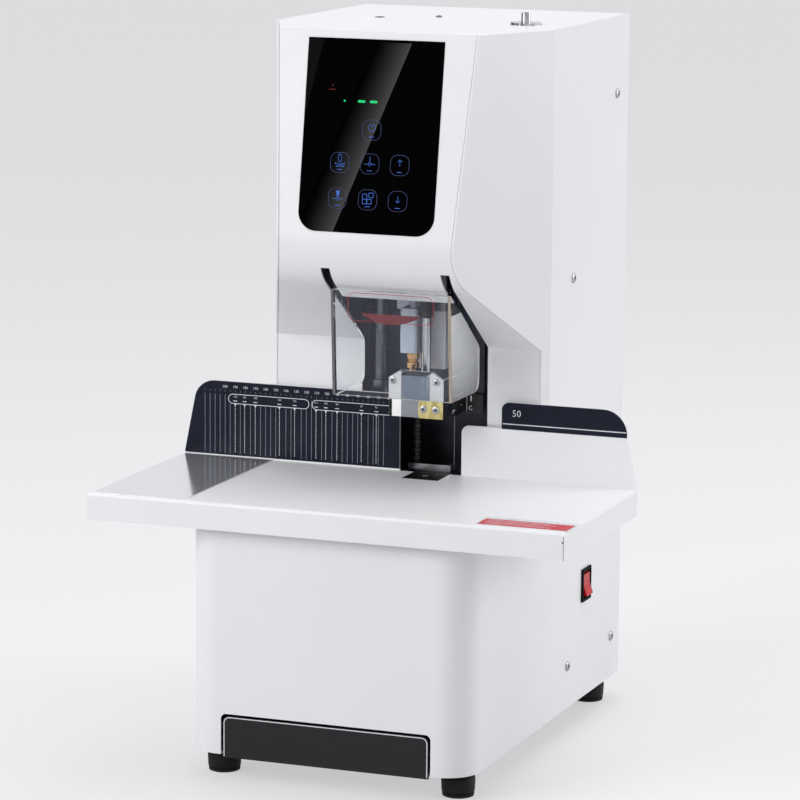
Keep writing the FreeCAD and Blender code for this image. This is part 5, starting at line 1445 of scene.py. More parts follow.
@dataclass
class Covers:
    """Painted covers with their screws and the fittings on the lid."""

    screw_radius: float = 4.6
    lid_screw_turn: float = 35.0
    cap_wall: float = 0.8
    cap_straight_share: float = 0.6
    cap_chamfer: float = 0.4

    def build(self) -> None:
        """Dress the covers and make their screws."""
        dress_nodes({"main_shell": Finishes.cover, "head_cover": Finishes.cover,
                     "top_cover": Finishes.cover, "rear_cover": Finishes.cover,
                     "base_plate": Finishes.galvanised})
        self.make_side_screws()
        self.make_top_fittings()

    def make_side_screws(self) -> None:
        """Make a dome screw with a cross recess at each screw of the frame node."""
        screws = ScrewSet("side_screw_heads", "machine", "side_screws")
        for low, high in solids_of("side_screws"):
            middle = box_middle(low, high)
            outward = math.copysign(1.0, middle.x)
            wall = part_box("main_shell")[1].x
            height = (max(abs(low.x), abs(high.x)) - wall) / MM
            screws.put(ScrewHead((high.z - low.z) / 2 / MM, height, turn=middle.z / MM),
                       Vector((wall * outward, middle.y, middle.z)), RIGHT * outward)
        screws.finish(Finishes.screw)

    def make_top_fittings(self) -> None:
        """Make the lid's round cap with its screw, and the small screw beside it."""
        screws = ScrewSet("lid_screws", "machine", "top_fittings")
        caps = []
        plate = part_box("top_cover")[1].z
        for low, high in solids_of("top_fittings"):
            middle = box_middle(low, high)
            seat = Vector((middle.x, middle.y, plate))
            radius = (high.x - low.x) / 2 / MM
            rise = (high.z - plate) / MM
            base = 0.0
            if radius > self.screw_radius:
                base = self.cap_wall
                caps.append(lathe([(radius, 0.0), (radius, base * self.cap_straight_share),
                                   (radius - self.cap_chamfer, base)], seat))
            screws.put(ScrewHead(min(radius, self.screw_radius), rise - base,
                                 turn=self.lid_screw_turn), seat + UP * (base * MM), UP)
        screws.finish(Finishes.dark_steel)
        add_piece("lid_cap", mesh_of(joined(caps)), Finishes.cover, "machine")


class Mark(Enum):
    """Marks on the touch panel's keys."""

    POWER = "power"
    DRILL = "drill"
    CROSS = "cross"
    UP = "up"
    TOOL = "tool"
    SQUARES = "squares"
    DOWN = "down"


@dataclass(frozen=True)
class Drawing:
    """What one key shows, in mm around the key's middle."""

    weight: float = 1.0
    lines: tuple[tuple[Spot, Spot], ...] = ()
    boxes: tuple[tuple[Spot, Spot, float], ...] = ()
    discs: tuple[tuple[Spot, float], ...] = ()
    rings: tuple[tuple[Spot, float, float, float], ...] = ()
    area: tuple[Spot, ...] = ()


NEEDLE = (((0, 2.4), (0, 1.2)), ((-1.6, -0.3), (-5.2, -0.3)), ((1.6, -0.3), (5.2, -0.3)))
TARGET = (((0, -0.3), 1.5, 0, 360),)
DRAWINGS = {
    Mark.POWER: Drawing(lines=(((0, 2.2), (0, 5.4)),), rings=(((0, 2.2), 3.4, 115, 310),)),
    Mark.DRILL: Drawing(
        boxes=(((0, 4.0), (3.2, 6.6), 1.4),),
        discs=(((-3.9, -0.82), 0.62), ((-2.72, -3.2), 0.55), ((-1.9, -1.22), 0.62),
               ((-1.12, -3.2), 0.55), ((0.2, -1.56), 0.62), ((0.56, -3.2), 0.55),
               ((2.2, -1.16), 0.62), ((2.16, -3.2), 0.55), ((4.1, -0.78), 0.62),
               ((3.68, -3.2), 0.55))),
    Mark.CROSS: Drawing(lines=(((0, 6.2), (0, 2.4)), *NEEDLE), rings=TARGET),
    Mark.UP: Drawing(lines=(((0, -0.8), (0, 4.8)), ((0, 4.8), (-2, 3.0)), ((0, 4.8), (2, 3.0)))),
    Mark.TOOL: Drawing(area=((-1.7, 6.6), (-0.9, 2.2), (0.9, 2.2), (1.7, 6.6)), lines=NEEDLE,
                       rings=TARGET),
    Mark.SQUARES: Drawing(
        weight=1.2, lines=(((-5.0, 0.4), (-0.8, 0.4)),),
        boxes=(((-2.9, 0.7), (4.4, 9.0), 0.7), ((1.4, -1.6), (4.4, 4.4), 0.7),
               ((3.0, 4.0), (4.6, 4.6), 0.9))),
    Mark.DOWN: Drawing(lines=(((0, 4.4), (0, -1.2)), ((0, -1.2), (-2, 0.6)),
                              ((0, -1.2), (2, 0.6)))),
}


@dataclass
class ControlPanel:
    """Black glass with its lit marks."""

    key_size: float = 17.6
    key_corner: float = 6.4
    key_line: float = 0.36
    keys: tuple[tuple[Mark, float, float], ...] = (
        (Mark.POWER, 0.7, 566.0), (Mark.DRILL, -27.1, 537.0), (Mark.CROSS, 0.8, 537.0),
        (Mark.UP, 28.6, 537.0), (Mark.TOOL, -27.1, 506.3), (Mark.SQUARES, 0.9, 506.3),
        (Mark.DOWN, 28.7, 506.3))
    caption_half: float = 2.4
    caption_drop: float = 6.0
    caption_weight: float = 1.3
    dashes: tuple[Spot, ...] = ((-10.2, 590.0), (0.9, 590.0))
    dash_size: Spot = (7.0, 2.2)
    dash_corner: float = 1.0
    green_dot: Spot = (-26.0, 590.0)
    green_radius: float = 0.9
    red_dot: Spot = (-38.0, 603.0)
    red_radius: float = 0.8
    red_bar: Spot = (-3.4, 3.0)
    red_bar_drop: float = 3.6
    red_bar_thick: float = 0.9

    def build(self) -> None:
        """Dress the glass and print its marks."""
        dress_node("panel_glass", Finishes.glass)
        dress_node("panel_board", Finishes.circuit)
        point, facing = front_plane("panel_glass")
        across, up = tilted_axes(facing)
        origin = point - up * (point.z / up.z) - across * point.x
        rise = 1 / up.z
        marks, frames = PrintPlane(origin, across, up), PrintPlane(origin, across, up)
        for mark, x, z in self.keys:
            self.print_key(marks, DRAWINGS[mark], (x, z * rise))
            frames.frame((x, z * rise), self.key_size, self.key_size * rise, self.key_corner,
                         self.key_line)
        marks.finish("panel_marks", Finishes.blue_light, "machine", "black_glass")
        frames.finish("panel_key_frames", Finishes.blue_frame, "machine", "black_glass")
        lights = PrintPlane(origin, across, up)
        for x, z in self.dashes:
            lights.area([(x + a, z * rise + b) for a, b in
                         rounded_outline(*self.dash_size, self.dash_corner)])
        lights.disc((self.green_dot[0], self.green_dot[1] * rise), self.green_radius)
        lights.finish("panel_green_lights", Finishes.green_light, "machine", "black_glass")
        warm = PrintPlane(origin, across, up)
        x, z = self.red_dot
        level = (z - self.red_bar_drop) * rise
        warm.disc((x, z * rise), self.red_radius)
        warm.line((x + self.red_bar[0], level), (x + self.red_bar[1], level), self.red_bar_thick)
        warm.finish("panel_red_light", Finishes.red_light, "machine", "black_glass")

    def print_key(self, plane: PrintPlane, drawing: Drawing, middle: Spot) -> None:
        """Print one key's mark and the short line under it.

        Args:
            plane: Where it is printed.
            drawing: What the key shows.
            middle: The key's middle.
        """
        def at(spot: Spot) -> Spot:
            """Give a spot of the drawing on the panel."""
            return middle[0] + spot[0], middle[1] + spot[1]

        thin = self.key_line * drawing.weight
        for first, last in drawing.lines:
            plane.line(at(first), at(last), thin)
        for spot, (wide, tall), corner in drawing.boxes:
            plane.frame(at(spot), wide, tall, corner, thin)
        for spot, radius in drawing.discs:
            plane.disc(at(spot), radius)
        for spot, radius, start, sweep in drawing.rings:
            plane.ring(at(spot), radius, thin, start, sweep)
        if drawing.area:
            plane.area([at(spot) for spot in drawing.area])
        plane.line(at((-self.caption_half, -self.caption_drop)),
                   at((self.caption_half, -self.caption_drop)),
                   self.key_line * self.caption_weight)


@dataclass
class Worktable:
    """Folded table with its corner seam, wear plate and red label area."""

    seam_inset: float = 1.0
    seam_bend: float = 3.2
    seam_width: float = 0.5
    seam_hole: float = 0.9
    seam_hole_inset: float = 1.6
    seam_hole_drop: float = 8.3
    label_middle: Spot = (178.5, -192.5)
    label_size: Spot = (82.0, 33.0)
    label_corner: float = 1.5
    label_border: float = 1.2
    label_head: float = 7.0
    red_corner: float = 1.0
    red_lift: float = 0.06
    bar_lift: float = 0.1
    bar_start: Spot = (5.0, 4.0)
    bar_step: float = 4.6
    bar_thick: float = 0.9
    bar_shares: tuple[float, ...] = (0.6708, 0.7568, 0.602, 0.7224)

    def build(self) -> None:
        """Dress the table and the plate, and print the seam and the label."""
        dress_node("worktable", Finishes.table)
        dress_node("wear_plate", Finishes.mirror)
        low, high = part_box("worktable")
        self.print_seams(low, high)
        self.print_label(high.z)

    def print_seams(self, low: Vector, high: Vector) -> None:
        """Print the open seam beside each front corner of the skirt.

        Args:
            low: Lowest corner of the table.
            high: Highest corner of the table.
        """
        drop = (high.z - low.z) / MM
        front = PrintPlane(Vector((high.x, low.y, high.z)), RIGHT, UP)
        flank = PrintPlane(Vector((low.x, low.y, high.z)), -BACK, UP)
        for plane in (front, flank):
            plane.line((-self.seam_inset, -self.seam_bend), (-self.seam_inset, -drop),
                       self.seam_width)
            plane.disc((-self.seam_hole_inset, -self.seam_hole_drop), self.seam_hole)
        front.finish("table_right_seam", Finishes.seam_shade, "machine", "powder_white")
        flank.finish("table_left_seam", Finishes.seam_shade, "machine", "powder_white")

    def print_label(self, height: float) -> None:
        """Print the red label without words: a red field, a white border and plain bars.

        Args:
            height: Height of the table's top, in metres.
        """
        origin = Vector((self.label_middle[0] * MM, self.label_middle[1] * MM, height))
        wide, deep = self.label_size
        paper = PrintPlane(origin, RIGHT, BACK)
        paper.area(rounded_outline(wide, deep, self.label_corner))
        paper.finish("table_label_paper", Finishes.white_ink, "machine", "powder_white")
        wide, deep = wide - self.label_border * 2, deep - self.label_border * 2
        red = PrintPlane(origin, RIGHT, BACK, self.red_lift)
        red.area([(x, y - self.label_head / 2) for x, y in
                  rounded_outline(wide, deep - self.label_head, self.red_corner)])
        red.finish("table_label_red", Finishes.red_ink, "machine", "powder_white")
        bars = PrintPlane(origin, RIGHT, BACK, self.bar_lift)
        start = self.bar_start[0] - wide / 2
        for row, share in enumerate(self.bar_shares):
            y = deep / 2 - self.label_head - self.bar_start[1] - row * self.bar_step
            bars.line((start, y), (start + wide * share, y), self.bar_thick)
        bars.finish("table_label_bars", Finishes.white_ink, "machine", "powder_white")


@dataclass
class Fences:
    """Side fences with the printed ruler and the limit film."""

    zero: float = 25.0
    stretch: float = 1.002
    step: float = 5.0
    steps: tuple[int, int] = (9, 45)
    numbers: tuple[int, int, int] = (40, 201, 10)
    number_height: float = 314.8
    number_size: float = 3.3
    tick_span: Spot = (310.1, 311.7)
    tick_thick: float = 0.35
    outer_top: float = 307.5
    inner_top: float = 298.6
    line_low: float = 253.2
    line_thick: float = 0.48
    line_clear: float = 1.6
    pills: tuple[Spot, ...] = ((-172.4, -92.5), (-89.9, -9.0))
    pill_height: float = 9.2
    pill_middle: float = 303.9
    pill_corner: float = 4.59
    pill_line: float = 0.6
    arrows: tuple[float, ...] = (-165.4, -156.1, -145.5, -121.7, -106.8, -85.8, -76.2, -65.3,
                                 -41.6, -27.2)
    arrow_half: float = 1.3
    arrow_tall: float = 2.2
    arrow_number_size: float = 2.4
    arrow_offset: float = 1.9
    arrow_bar_thick: float = 0.7
    dash_drop: float = 1.5
    dash: float = 1.3
    dash_gap: float = 0.9
    dash_thick: float = 0.6
    limit_line: float = 299.8
    limit_line_thick: float = 0.9
    limit_line_insets: Spot = (1.0, 0.6)
    limit_number: str = "50"
    limit_number_spot: Spot = (14.0, 9.5)
    limit_number_size: float = 8.5
    film_drop: float = 1.5
    end_inset: float = 0.2
    end_drop: float = 1.0

    def build(self) -> None:
        """Dress the fences and their films, and print the ruler and the limit."""
        dress_nodes({"left_fence": Finishes.table, "right_fence": Finishes.table,
                     "ruler_plate": Finishes.navy, "limit_plate": Finishes.navy})
        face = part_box("ruler_plate")[0].y
        self.print_ruler(front_print(face))
        self.print_faint(front_print(face))
        self.print_limit(front_print(face))
        self.trim_left_fence()

    def trim_left_fence(self) -> None:
        """Continue the film down to the table and out to the fence's end, and paint shade on the
        fence's sawn end.
        """
        low, high = (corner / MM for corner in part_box("left_fence"))
        film_low, film_high = (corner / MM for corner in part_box("ruler_plate"))
        face = front_print(low.y * MM)
        foot, end_x = film_low.z - self.film_drop, high.x - self.end_inset
        face.area([(film_low.x, foot), (end_x, foot), (end_x, film_low.z),
                   (film_low.x, film_low.z)])
        face.area([(film_high.x, film_low.z), (end_x, film_low.z), (end_x, film_high.z),
                   (film_high.x, film_high.z)])
        face.finish("ruler_lower_edge", Finishes.navy, "machine", "navy_print")
        end = PrintPlane(RIGHT * (high.x * MM), BACK, UP)
        top = high.z - self.end_drop
        end.area([(low.y, foot), (high.y, foot), (high.y, top), (low.y, top)])
        # The sawn end is painted shade.
        end.finish("left_fence_end_painted_shade", Finishes.seam_shade, "machine", "powder_white")

    def print_ruler(self, plane: PrintPlane) -> None:
        """Print the numbers, pills, arrows and dashed lines.

        Args:
            plane: Where they are printed.
        """
        for number in range(*self.numbers):
            plane.number(str(number), (self.zero - number * self.stretch, self.number_height),
                         self.number_size)
        for left, right in self.pills:
            plane.frame(((left + right) / 2, self.pill_middle), right - left, self.pill_height,
                        self.pill_corner, self.pill_line)
        foot = self.pill_middle - self.pill_height / 2
        for x in self.arrows:
            plane.area([(x - self.arrow_half, foot), (x + self.arrow_half, foot),
                        (x, foot - self.arrow_tall)])
            top = foot - self.dash_drop
            while top - self.dash > self.line_low:
                plane.line((x, top), (x, top - self.dash), self.dash_thick)
                top -= self.dash + self.dash_gap
            plane.number(str(round(self.zero - x)), (x, self.pill_middle + self.arrow_offset),
                         self.arrow_number_size)
            level = self.pill_middle - self.arrow_offset
            plane.line((x - self.arrow_offset, level), (x + self.arrow_offset, level),
                       self.arrow_bar_thick)
        plane.finish("ruler_print", Finishes.white_ink, "machine", "navy_print")

    def print_faint(self, plane: PrintPlane) -> None:
        """Print the thin upright lines and the ticks under the numbers.

        Args:
            plane: Where they are printed.
        """
        low, high = self.tick_span
        for index in range(*self.steps):
            x = self.zero - index * self.step * self.stretch
            plane.line((x, low), (x, high), self.tick_thick)
            inside = any(left < x < right for left, right in self.pills)
            top = self.inner_top if inside else self.outer_top
            if all(abs(x - arrow) > self.line_clear for arrow in self.arrows):
                plane.line((x, top), (x, self.line_low), self.line_thick)
        plane.finish("ruler_lines", Finishes.grey_ink, "machine", "navy_print")

    def print_limit(self, plane: PrintPlane) -> None:
        """Print the limit's white line and its height as a plain number.

        Args:
            plane: Where they are printed.
        """
        left, right = (corner.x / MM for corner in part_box("limit_plate"))
        near, far = self.limit_line_insets
        plane.line((left + near, self.limit_line), (right - far, self.limit_line),
                   self.limit_line_thick)
        x, rise = self.limit_number_spot
        plane.number(self.limit_number, (left + x, self.limit_line + rise),
                     self.limit_number_size)
        plane.finish("limit_print", Finishes.white_ink, "machine", "navy_print")


@dataclass
class Throat:
    """Dark throat with its bar, ringed stop rod, pin and anvil."""

    ring_step: float = 7.4
    ring_tall: float = 3.4
    ring_slope: float = 0.6
    ring_depth: float = 0.9
    plain_end: float = 2.0
    chamfer: float = 0.8
    chamfer_share: float = 0.8

    def build(self) -> None:
        """Dress the throat and make the ringed rod."""
        # The liner and the bar carry painted shade: the liner darkens towards its bottom, the bar
        # towards its left end.
        dress_nodes({"throat_liner": Finishes.liner_painted_shade, "throat_bar": Finishes.bar_painted_light_and_shade,
                     "paper_pin": Finishes.dark_steel, "anvil": Finishes.deep_black,
                     "cutting_pad": Finishes.deep_black, "lower_die": Finishes.dark_part})
        self.make_stop_rod()

    def make_stop_rod(self) -> None:
        """Turn the stop rod with its wide rings."""
        low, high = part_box("stop_rod")
        radius, length = (high.x - low.x) / 2 / MM, (high.z - low.z) / MM
        tip, waist = radius * self.chamfer_share, radius - self.ring_depth
        profile = [(tip, 0.0), (radius, self.chamfer)]
        height = self.plain_end
        while height + self.ring_step < length - self.plain_end:
            slope = height + self.ring_tall
            profile += [(radius, height), (radius, slope), (waist, slope + self.ring_slope),
                        (waist, height + self.ring_step - self.ring_slope)]
            height += self.ring_step
        profile += [(radius, length - self.chamfer), (tip, length)]
        middle = box_middle(low, high)
        shape = lathe(profile, Vector((middle.x, middle.y, low.z)))
        add_piece("ringed_stop_rod", mesh_of(shape), Finishes.dark_part, "machine",
                  ("stop_rod",))


@dataclass
class PressTools:
    """Drill, rivet head and press foot with their carriers."""

    head_tip: tuple[Spot, ...] = ((0.45, 0.0), (0.6, 0.8), (0.6, 6.6))
    head_rings: tuple[Spot, ...] = ((0.6, 6.9), (0.0, 7.5), (0.0, 12.2), (0.6, 12.8), (1.2, 13.1),
                                    (1.2, 14.6), (0.6, 14.9), (0.0, 15.4))
    head_top: Spot = (0.7, 0.8)
    screw_turns: Spot = (30.0, 40.0)
    screw_share: float = 1.3
    upward: float = 0.5
    top_inset: float = 0.5
    chamfer_drop: float = 7.0
    chamfer_run: float = 10.4
    right_column: float = 13.0
    window_wide: float = 16.8
    shaded_top: tuple[Spot, ...] = ((16.0, 343.6), (33.0, 343.6), (41.0, 347.9), (14.0, 347.9))
    bend_front: float = -12.5
    bend_lines: tuple[tuple[float, float, float], ...] = ((58.2, 2.0, 0.45), (62.2, 11.0, 1.2))
    bend_top: float = 16.0
    bend_ring: tuple[Spot, float, float, float, float] = ((62.0, 5.0), 1.9, 0.5, 60, 270)
    arm_side: float = 53.6
    arm_line: tuple[Spot, Spot, float] = ((-37.4, 5.4), (-30.5, 5.4), 1.3)
    arm_dots: tuple[tuple[Spot, float], ...] = (((-36.0, 4.2), 1.1), ((-14.6, 7.6), 0.9))

    def build(self) -> None:
        """Dress the tools and make the turned and screwed pieces."""
        # The drill bit's steel has painted reflections.
        dress_nodes({"drill_bit": Finishes.steel, "drill_chuck": Finishes.dark_part,
                     "drill_motor": Finishes.galvanised, "spindle_housing": Finishes.machined,
                     # The tool block's light finish is painted light, where it sits in shade.
                     "station_plate": Finishes.machined, "tool_block": Finishes.block,
                     "rivet_slide": Finishes.nose, "foot_pad": Finishes.nylon,
                     "foot_bracket": Finishes.zinc, "foot_arm": Finishes.dark_part,
                     "foot_shield": Finishes.clear_foot})
        self.make_rivet_head()
        self.make_foot_screws()
        self.make_foot_skins()
        self.print_foot_marks()

    def make_rivet_head(self) -> None:
        """Turn the brass head with chamfered rings."""
        low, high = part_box("rivet_head")
        radius, length = (high.x - low.x) / 2 / MM, (high.z - low.z) / MM
        middle = box_middle(low, high)
        profile = [(radius * share, height) for share, height in self.head_tip]
        profile += [(radius - depth, height) for depth, height in self.head_rings]
        depth, drop = self.head_top
        profile += [(radius, length - drop), (radius - depth, length)]
        shape = lathe(profile, Vector((middle.x, middle.y, low.z)))
        add_piece("turned_rivet_head", mesh_of(shape), Finishes.brass, "riveter",
                  ("rivet_head",))

    def make_foot_screws(self) -> None:
        """Make the pan heads on the foot's front."""
        screws = ScrewSet("foot_pan_heads", "foot", "foot_screws")
        first, following = self.screw_turns
        for index, (low, high) in enumerate(solids_of("foot_screws")):
            middle = box_middle(low, high)
            screws.put(ScrewHead((high.x - low.x) / 2 / MM * self.screw_share,
                                 (high.y - low.y) / MM, turn=first + following * index),
                       Vector((middle.x, high.y, middle.z)), -BACK)
        screws.finish(Finishes.screw)

    def make_foot_skins(self) -> None:
        """Lay milky skins on the shield's front, a strip of painted shade near its top, and
        painted highlights on its upper edges.
        """
        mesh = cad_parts["foot_shield"].data
        tops = [face.index for face in mesh.polygons if face.normal.z > self.upward]
        # The shield's upper edges carry a painted highlight.
        add_piece("foot_edge_painted_highlights", mesh_of(skin_of("foot_shield", tops)),
                  Finishes.edge_painted_highlight, "foot")
        low, high = (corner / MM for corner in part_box("foot_shield"))
        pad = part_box("foot_pad")[1] / MM
        top, slope = high.z - self.top_inset, high.z - self.chamfer_drop
        column, run, sill = high.x - self.right_column, self.chamfer_run, self.shaded_top[0][1]
        window = pad.x + self.window_wide
        skins = (
            ("foot_front_skins", Finishes.milky_foot,
             [[(low.x, pad.z), (pad.x, pad.z), (pad.x, top), (low.x + run, top),
               (low.x, slope)],
              [(column, pad.z), (high.x, pad.z), (high.x, slope), (high.x - run, top),
               (column, top)]]),
            ("foot_window_skin", Finishes.milky_window,
             [[(pad.x, low.z), (window, low.z), (window, pad.z), (pad.x, pad.z)]]),
            ("foot_middle_skin", Finishes.milky_front,
             [[(pad.x, pad.z), (column, pad.z), (column, sill), (pad.x, sill)]]),
            ("foot_shaded_skin", Finishes.shaded_front, [list(self.shaded_top)]))
        for name, finish, outlines in skins:
            plane = front_print(low.y * MM)
            for outline in outlines:
                plane.area(outline)
            plane.finish(name, finish, "foot", "clear_plastic")

    def print_foot_marks(self) -> None:
        """Paint small glints, as painted highlights, on the black arm's bend and on its side."""
        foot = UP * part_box("foot_arm")[0].z
        bend = PrintPlane(BACK * (self.bend_front * MM) + foot, RIGHT, UP)
        for x, low, thick in self.bend_lines:
            bend.line((x, low), (x, self.bend_top), thick)
        bend.ring(*self.bend_ring)
        bend.finish("foot_arm_painted_glints", Finishes.white_ink, "foot", "black_plastic")
        side = PrintPlane(RIGHT * (self.arm_side * MM) + foot, BACK, UP)
        side.line(*self.arm_line)
        for spot, radius in self.arm_dots:
            side.disc(spot, radius)
        side.finish("foot_arm_side_painted_glints", Finishes.white_ink, "foot", "black_plastic")


@dataclass
class Guard:
    """Clear guard with milky edges, a painted reflection on its side, painted light and shade on
    its corners, and its red keyline.
    """

    keyline: Spot = (80.0, 25.5)
    keyline_drop: float = 2.0
    keyline_corner: float = 7.0
    keyline_thick: float = 0.55
    lens_size: Spot = (57.0, 9.0)
    lens_drop: float = 20.0
    lens_steps: int = 18
    lens_power: float = 0.8
    front_rise: float = 95.0
    straight: float = 0.98
    corner_band: float = 2.6
    rim: float = 0.6
    reflection_top: float = 406.5
    band_lift: float = 0.07
    haze_lift: float = 0.13
    near: float = 0.1

    def build(self) -> None:
        """Dress the guard, lay its milky skins and its skins of painted light and shade, and print
        its red marks.
        """
        dress_node("guard_shield", Finishes.clear)
        dress_node("guard_hinges", Finishes.dark_part)
        point, facing = front_plane("guard_shield")
        across, up = tilted_axes(facing)
        low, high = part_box("guard_shield")
        top_height = low.z + self.front_rise * MM
        top = point + up * ((top_height - point.z) / up.z)
        top.x = (low.x + high.x) / 2
        half = (high.x - low.x) / 2 / MM
        self.lay_side(high.x)
        self.lay_front(top, across, up, half)
        plane = PrintPlane(top, across, up)
        wide, tall = self.keyline
        plane.frame((0, -self.keyline_drop - tall / 2), wide, tall, self.keyline_corner,
                    self.keyline_thick)
        plane.finish("guard_keyline", Finishes.dark_red_ink, "guard", "clear_plastic")
        self.print_lens(PrintPlane(top, across, up))

    def lay_side(self, side: float) -> None:
        """Lay a painted reflection on the lower part of the right side, and a painted highlight on
        its sawn rear edge.

        Args:
            side: Where the right side lies, in metres.
        """
        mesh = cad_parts["guard_shield"].data
        front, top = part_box("guard_shield")[0].y, self.reflection_top * MM
        flank = [face.index for face in mesh.polygons
                 if face.normal.x > self.straight and face.center.x > side - self.near * MM]
        rear = [face.index for face in mesh.polygons
                if abs(face.normal.x) < 1 - self.straight and face.normal.y > 1 - self.straight
                and face.center.y > front / 2 and face.center.z < top]
        shape = skin_of("guard_shield", flank)
        cut = bmesh.ops.bisect_plane(shape, geom=shape.verts[:] + shape.edges[:] + shape.faces[:],
                                     plane_co=UP * top, plane_no=UP, clear_outer=True)
        rim = [item for item in cut["geom_cut"] if isinstance(item, bmesh.types.BMEdge)]
        bmesh.ops.holes_fill(shape, edges=rim)
        # The side skin is a painted reflection; the rear edges carry a painted highlight.
        add_piece("guard_side_reflection_skin", mesh_of(shape), Finishes.side_painted_reflection, "guard")
        add_piece("guard_rear_edge_painted_highlights", mesh_of(skin_of("guard_shield", rear)),
                  Finishes.edge_painted_highlight, "guard")

    def lay_front(self, top: Vector, across: Vector, up: Vector, half: float) -> None:
        """Lay bands on the bonded front corners, painted shade on the left and painted light on
        the right, bright rims, and a faint haze between that is partly painted sheen.

        Args:
            top: Middle of the front sheet's upper edge.
            across: Direction across the front sheet.
            up: Direction up the front sheet.
            half: Half of the guard's width, in mm.
        """
        long = self.front_rise / up.z
        band = self.corner_band
        # The left band is painted shade, the right band painted light.
        left = PrintPlane(top, across, up, self.band_lift)
        left.line((band / 2 - half, 0), (band / 2 - half, -long), band)
        left.finish("guard_left_corner", Finishes.corner_band_painted_shade, "guard", "clear_plastic")
        right = PrintPlane(top, across, up, self.band_lift)
        right.line((half - band / 2, 0), (half - band / 2, -long), band)
        right.finish("guard_right_corner", Finishes.corner_band_painted_light, "guard", "clear_plastic")
        rims = PrintPlane(top, across, up, self.band_lift)
        for level in (-self.rim / 2, self.rim / 2 - long):
            rims.line((band - half, level), (half - band, level), self.rim)
        rims.finish("guard_rims", Finishes.milky_rim, "guard", "clear_plastic")
        # The faint haze is partly a painted sheen.
        haze = PrintPlane(top, across, up, self.haze_lift)
        inner = half - band
        haze.area([(-inner, -long), (inner, -long), (inner, 0), (-inner, 0)])
        haze.finish("guard_front_haze_and_sheen", Finishes.front_haze_and_sheen, "guard", "clear_plastic")

    def print_lens(self, plane: PrintPlane) -> None:
        """Print the flat, lens-shaped red field.

        Args:
            plane: Where it is printed.
        """
        wide, tall = self.lens_size
        shares = [step / self.lens_steps for step in range(self.lens_steps + 1)]
        level = -self.lens_drop
        upper = [(-wide / 2 + wide * share, level) for share in shares]
        lower = [(-wide / 2 + wide * share,
                  level - tall * math.sin(math.pi * share) ** self.lens_power)
                 for share in reversed(shares[1:-1])]
        plane.area(upper + lower)
        plane.finish("guard_red_field", Finishes.red_haze, "guard", "clear_plastic")


@dataclass
class ChipTray:
    """Black tray with a painted highlight along the thin edge round its front."""

    edge_thick: float = 0.9
    edge_inset: float = 0.5
    edge_low: float = 1.0
    corner: float = 5.5
    corner_steps: int = 6

    def build(self) -> None:
        """Dress the tray and trace a painted highlight along its front edge."""
        dress_node("chip_tray", Finishes.satin_black)
        plane = front_print(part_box("chip_tray")[0].y)
        plane.band(self.edge(0.0), self.edge(self.edge_thick), closed=False)
        # The bright edge is a painted highlight.
        plane.finish("tray_edge_painted_highlight", Finishes.white_ink, "tray", "black_plastic")

    def edge(self, inset: float) -> list[Spot]:
        """Give a line up, across and down the tray's front, with round corners.

        Args:
            inset: How far it lies inside the bright edge.

        Returns:
            The line's points.
        """
        low, high = (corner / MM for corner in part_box("chip_tray"))
        left, right = low.x + self.edge_inset, high.x - self.edge_inset
        bottom, top = low.z + self.edge_low, high.z - self.edge_inset
        corner = self.corner
        return ([(left + inset, bottom)]
                + arc_points((left + corner, top - corner), corner - inset, 180, -90,
                             self.corner_steps)
                + arc_points((right - corner, top - corner), corner - inset, 90, -90,
                             self.corner_steps)
                + [(right - inset, bottom)])


@dataclass
class PowerSwitch:
    """Rocker switch on the right side."""

    bar_length: float = 4.4
    ring_radius: float = 2.2
    mark_line: float = 0.7
    ring_line: float = 0.56
    bezel_bevel: float = 0.4
    rocker_bevel: float = 0.6
    outward: float = 0.5
    alike: float = 0.995

    def build(self) -> None:
        """Dress the bezel and the rocker, and print the two marks."""
        dress_node("switch_bezel", Finishes.deep_black, self.bezel_bevel)
        dress_node("switch_rocker", Finishes.red, self.rocker_bevel)
        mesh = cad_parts["switch_rocker"].data
        outward = [face for face in mesh.polygons if face.normal.x > self.outward]
        middle = box_middle(*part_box("switch_rocker"))
        for upper in (True, False):
            faces = [face for face in outward if (face.center.z > middle.z) == upper]
            face = max(faces, key=lambda each: each.area)
            up = face.normal.cross(BACK).normalized()
            plane = PrintPlane(self.middle_of(mesh, face.normal, middle, upper), BACK, up)
            if upper:
                plane.line((0, -self.bar_length / 2), (0, self.bar_length / 2), self.mark_line)
            else:
                plane.ring((0, 0), self.ring_radius, self.ring_line)
            plane.finish("switch_bar" if upper else "switch_ring", Finishes.white_ink, "rocker",
                         "red_plastic")

    def middle_of(self, mesh: bpy.types.Mesh, facing: Vector, middle: Vector,
                  upper: bool) -> Vector:
        """Find the middle of one of the rocker's two slopes.

        Args:
            mesh: The rocker's mesh.
            facing: Direction that the slope looks.
            middle: Middle of the rocker.
            upper: Whether the slope is the upper one.

        Returns:
            The slope's middle.
        """
        corners = [mesh.vertices[corner].co for face in mesh.polygons
                   if face.normal.dot(facing) > self.alike
                   and (face.center.z > middle.z) == upper for corner in face.vertices]
        return sum(corners, Vector()) / len(corners)


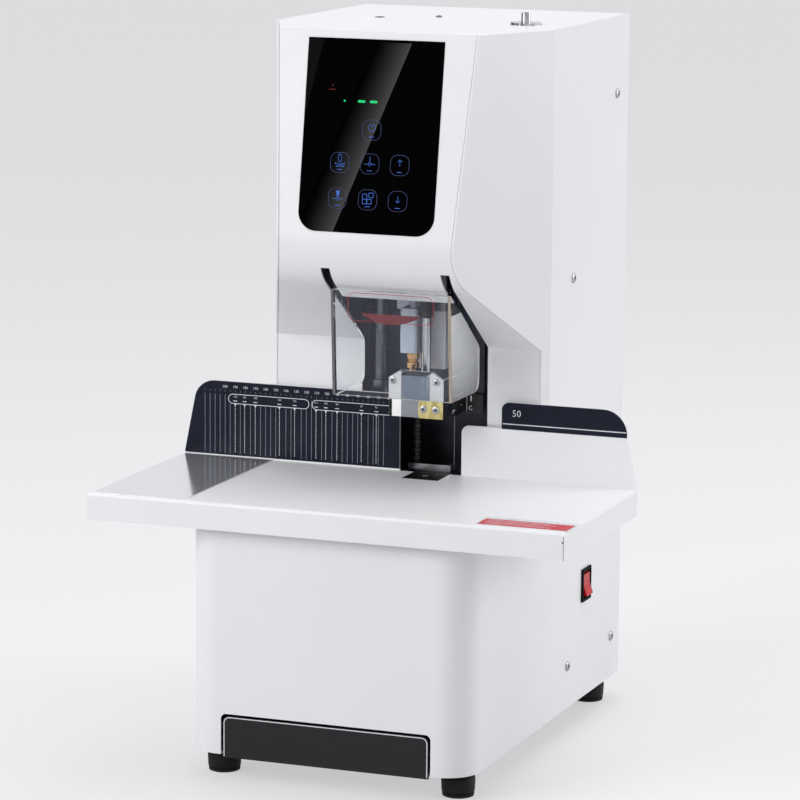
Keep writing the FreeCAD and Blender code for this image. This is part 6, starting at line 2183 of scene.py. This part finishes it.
@dataclass
class Feet:
    """Rubber feet with their bolts and nuts."""

    insets_low: tuple[Spot, ...] = ((2.4, 0.0), (1.2, 0.5), (0.9, 3.0), (1.7, 3.4), (1.7, 4.2),
                                    (0.5, 4.8))
    insets_high: tuple[Spot, ...] = ((0.0, 2.2), (0.6, 0.8), (1.6, 0.0), (7.0, 0.0), (7.6, 0.6))

    def build(self) -> None:
        """Turn the rubber feet, with their grooves, and dress the bolts and nuts."""
        rubber = []
        for low, high in solids_of("rubber_feet"):
            middle = box_middle(low, high)
            radius, length = (high.x - low.x) / 2 / MM, (high.z - low.z) / MM
            profile = [(radius - inset, height) for inset, height in self.insets_low]
            profile += [(radius - inset, length - drop) for inset, drop in self.insets_high]
            rubber.append(lathe(profile, Vector((middle.x, middle.y, low.z))))
        add_piece("turned_rubber_feet", mesh_of(joined(rubber)), Finishes.rubber, "machine",
                  ("rubber_feet",))
        dress_node("foot_bolts", Finishes.screw)


@dataclass
class BackPanel:
    """Power inlet in the back."""

    def build(self) -> None:
        """Dress the inlet."""
        dress_node("power_inlet", Finishes.black)


@dataclass
class TubeFeed:
    """Nylon tube inlet on the lid and its feed unit."""

    def build(self) -> None:
        """Dress the inlet, the unit and its rollers."""
        # The inlet's chrome has painted reflections.
        dress_nodes({"tube_inlet": Finishes.chrome_painted_reflections, "feed_unit": Finishes.machined,
                     "drive_roller": Finishes.rubber, "pinch_roller": Finishes.rubber})


@dataclass
class InnerWorks:
    """Cast frame, press drive and the pieces behind the covers."""

    def build(self) -> None:
        """Dress every inner piece."""
        dress_nodes({"cast_frame": Finishes.cast, "guide_shafts": Finishes.dark_steel,
                     "lead_screw": Finishes.steel, "screw_bearings": Finishes.machined,
                     "press_motor": Finishes.black, "motor_pulley": Finishes.machined,
                     "press_belt": Finishes.rubber, "press_carriage": Finishes.machined,
                     "carriage_bushes": Finishes.bronze, "carriage_nut": Finishes.bronze,
                     "foot_guide": Finishes.machined, "chip_chute": Finishes.galvanised,
                     "power_supply": Finishes.galvanised})


def main() -> None:
    """Build the scene, one sub-assembly after the other."""
    logging.basicConfig(level=logging.INFO, format="%(name)s: %(message)s")
    for assembly in (Studio(), Covers(), ControlPanel(), Worktable(), Fences(), Throat(),
                     PressTools(), Guard(), ChipTray(), PowerSwitch(), Feet(), BackPanel(),
                     TubeFeed(), InnerWorks()):
        log.info("%s starts", type(assembly).__name__)
        assembly.build()


if __name__ == "__main__":
    main()
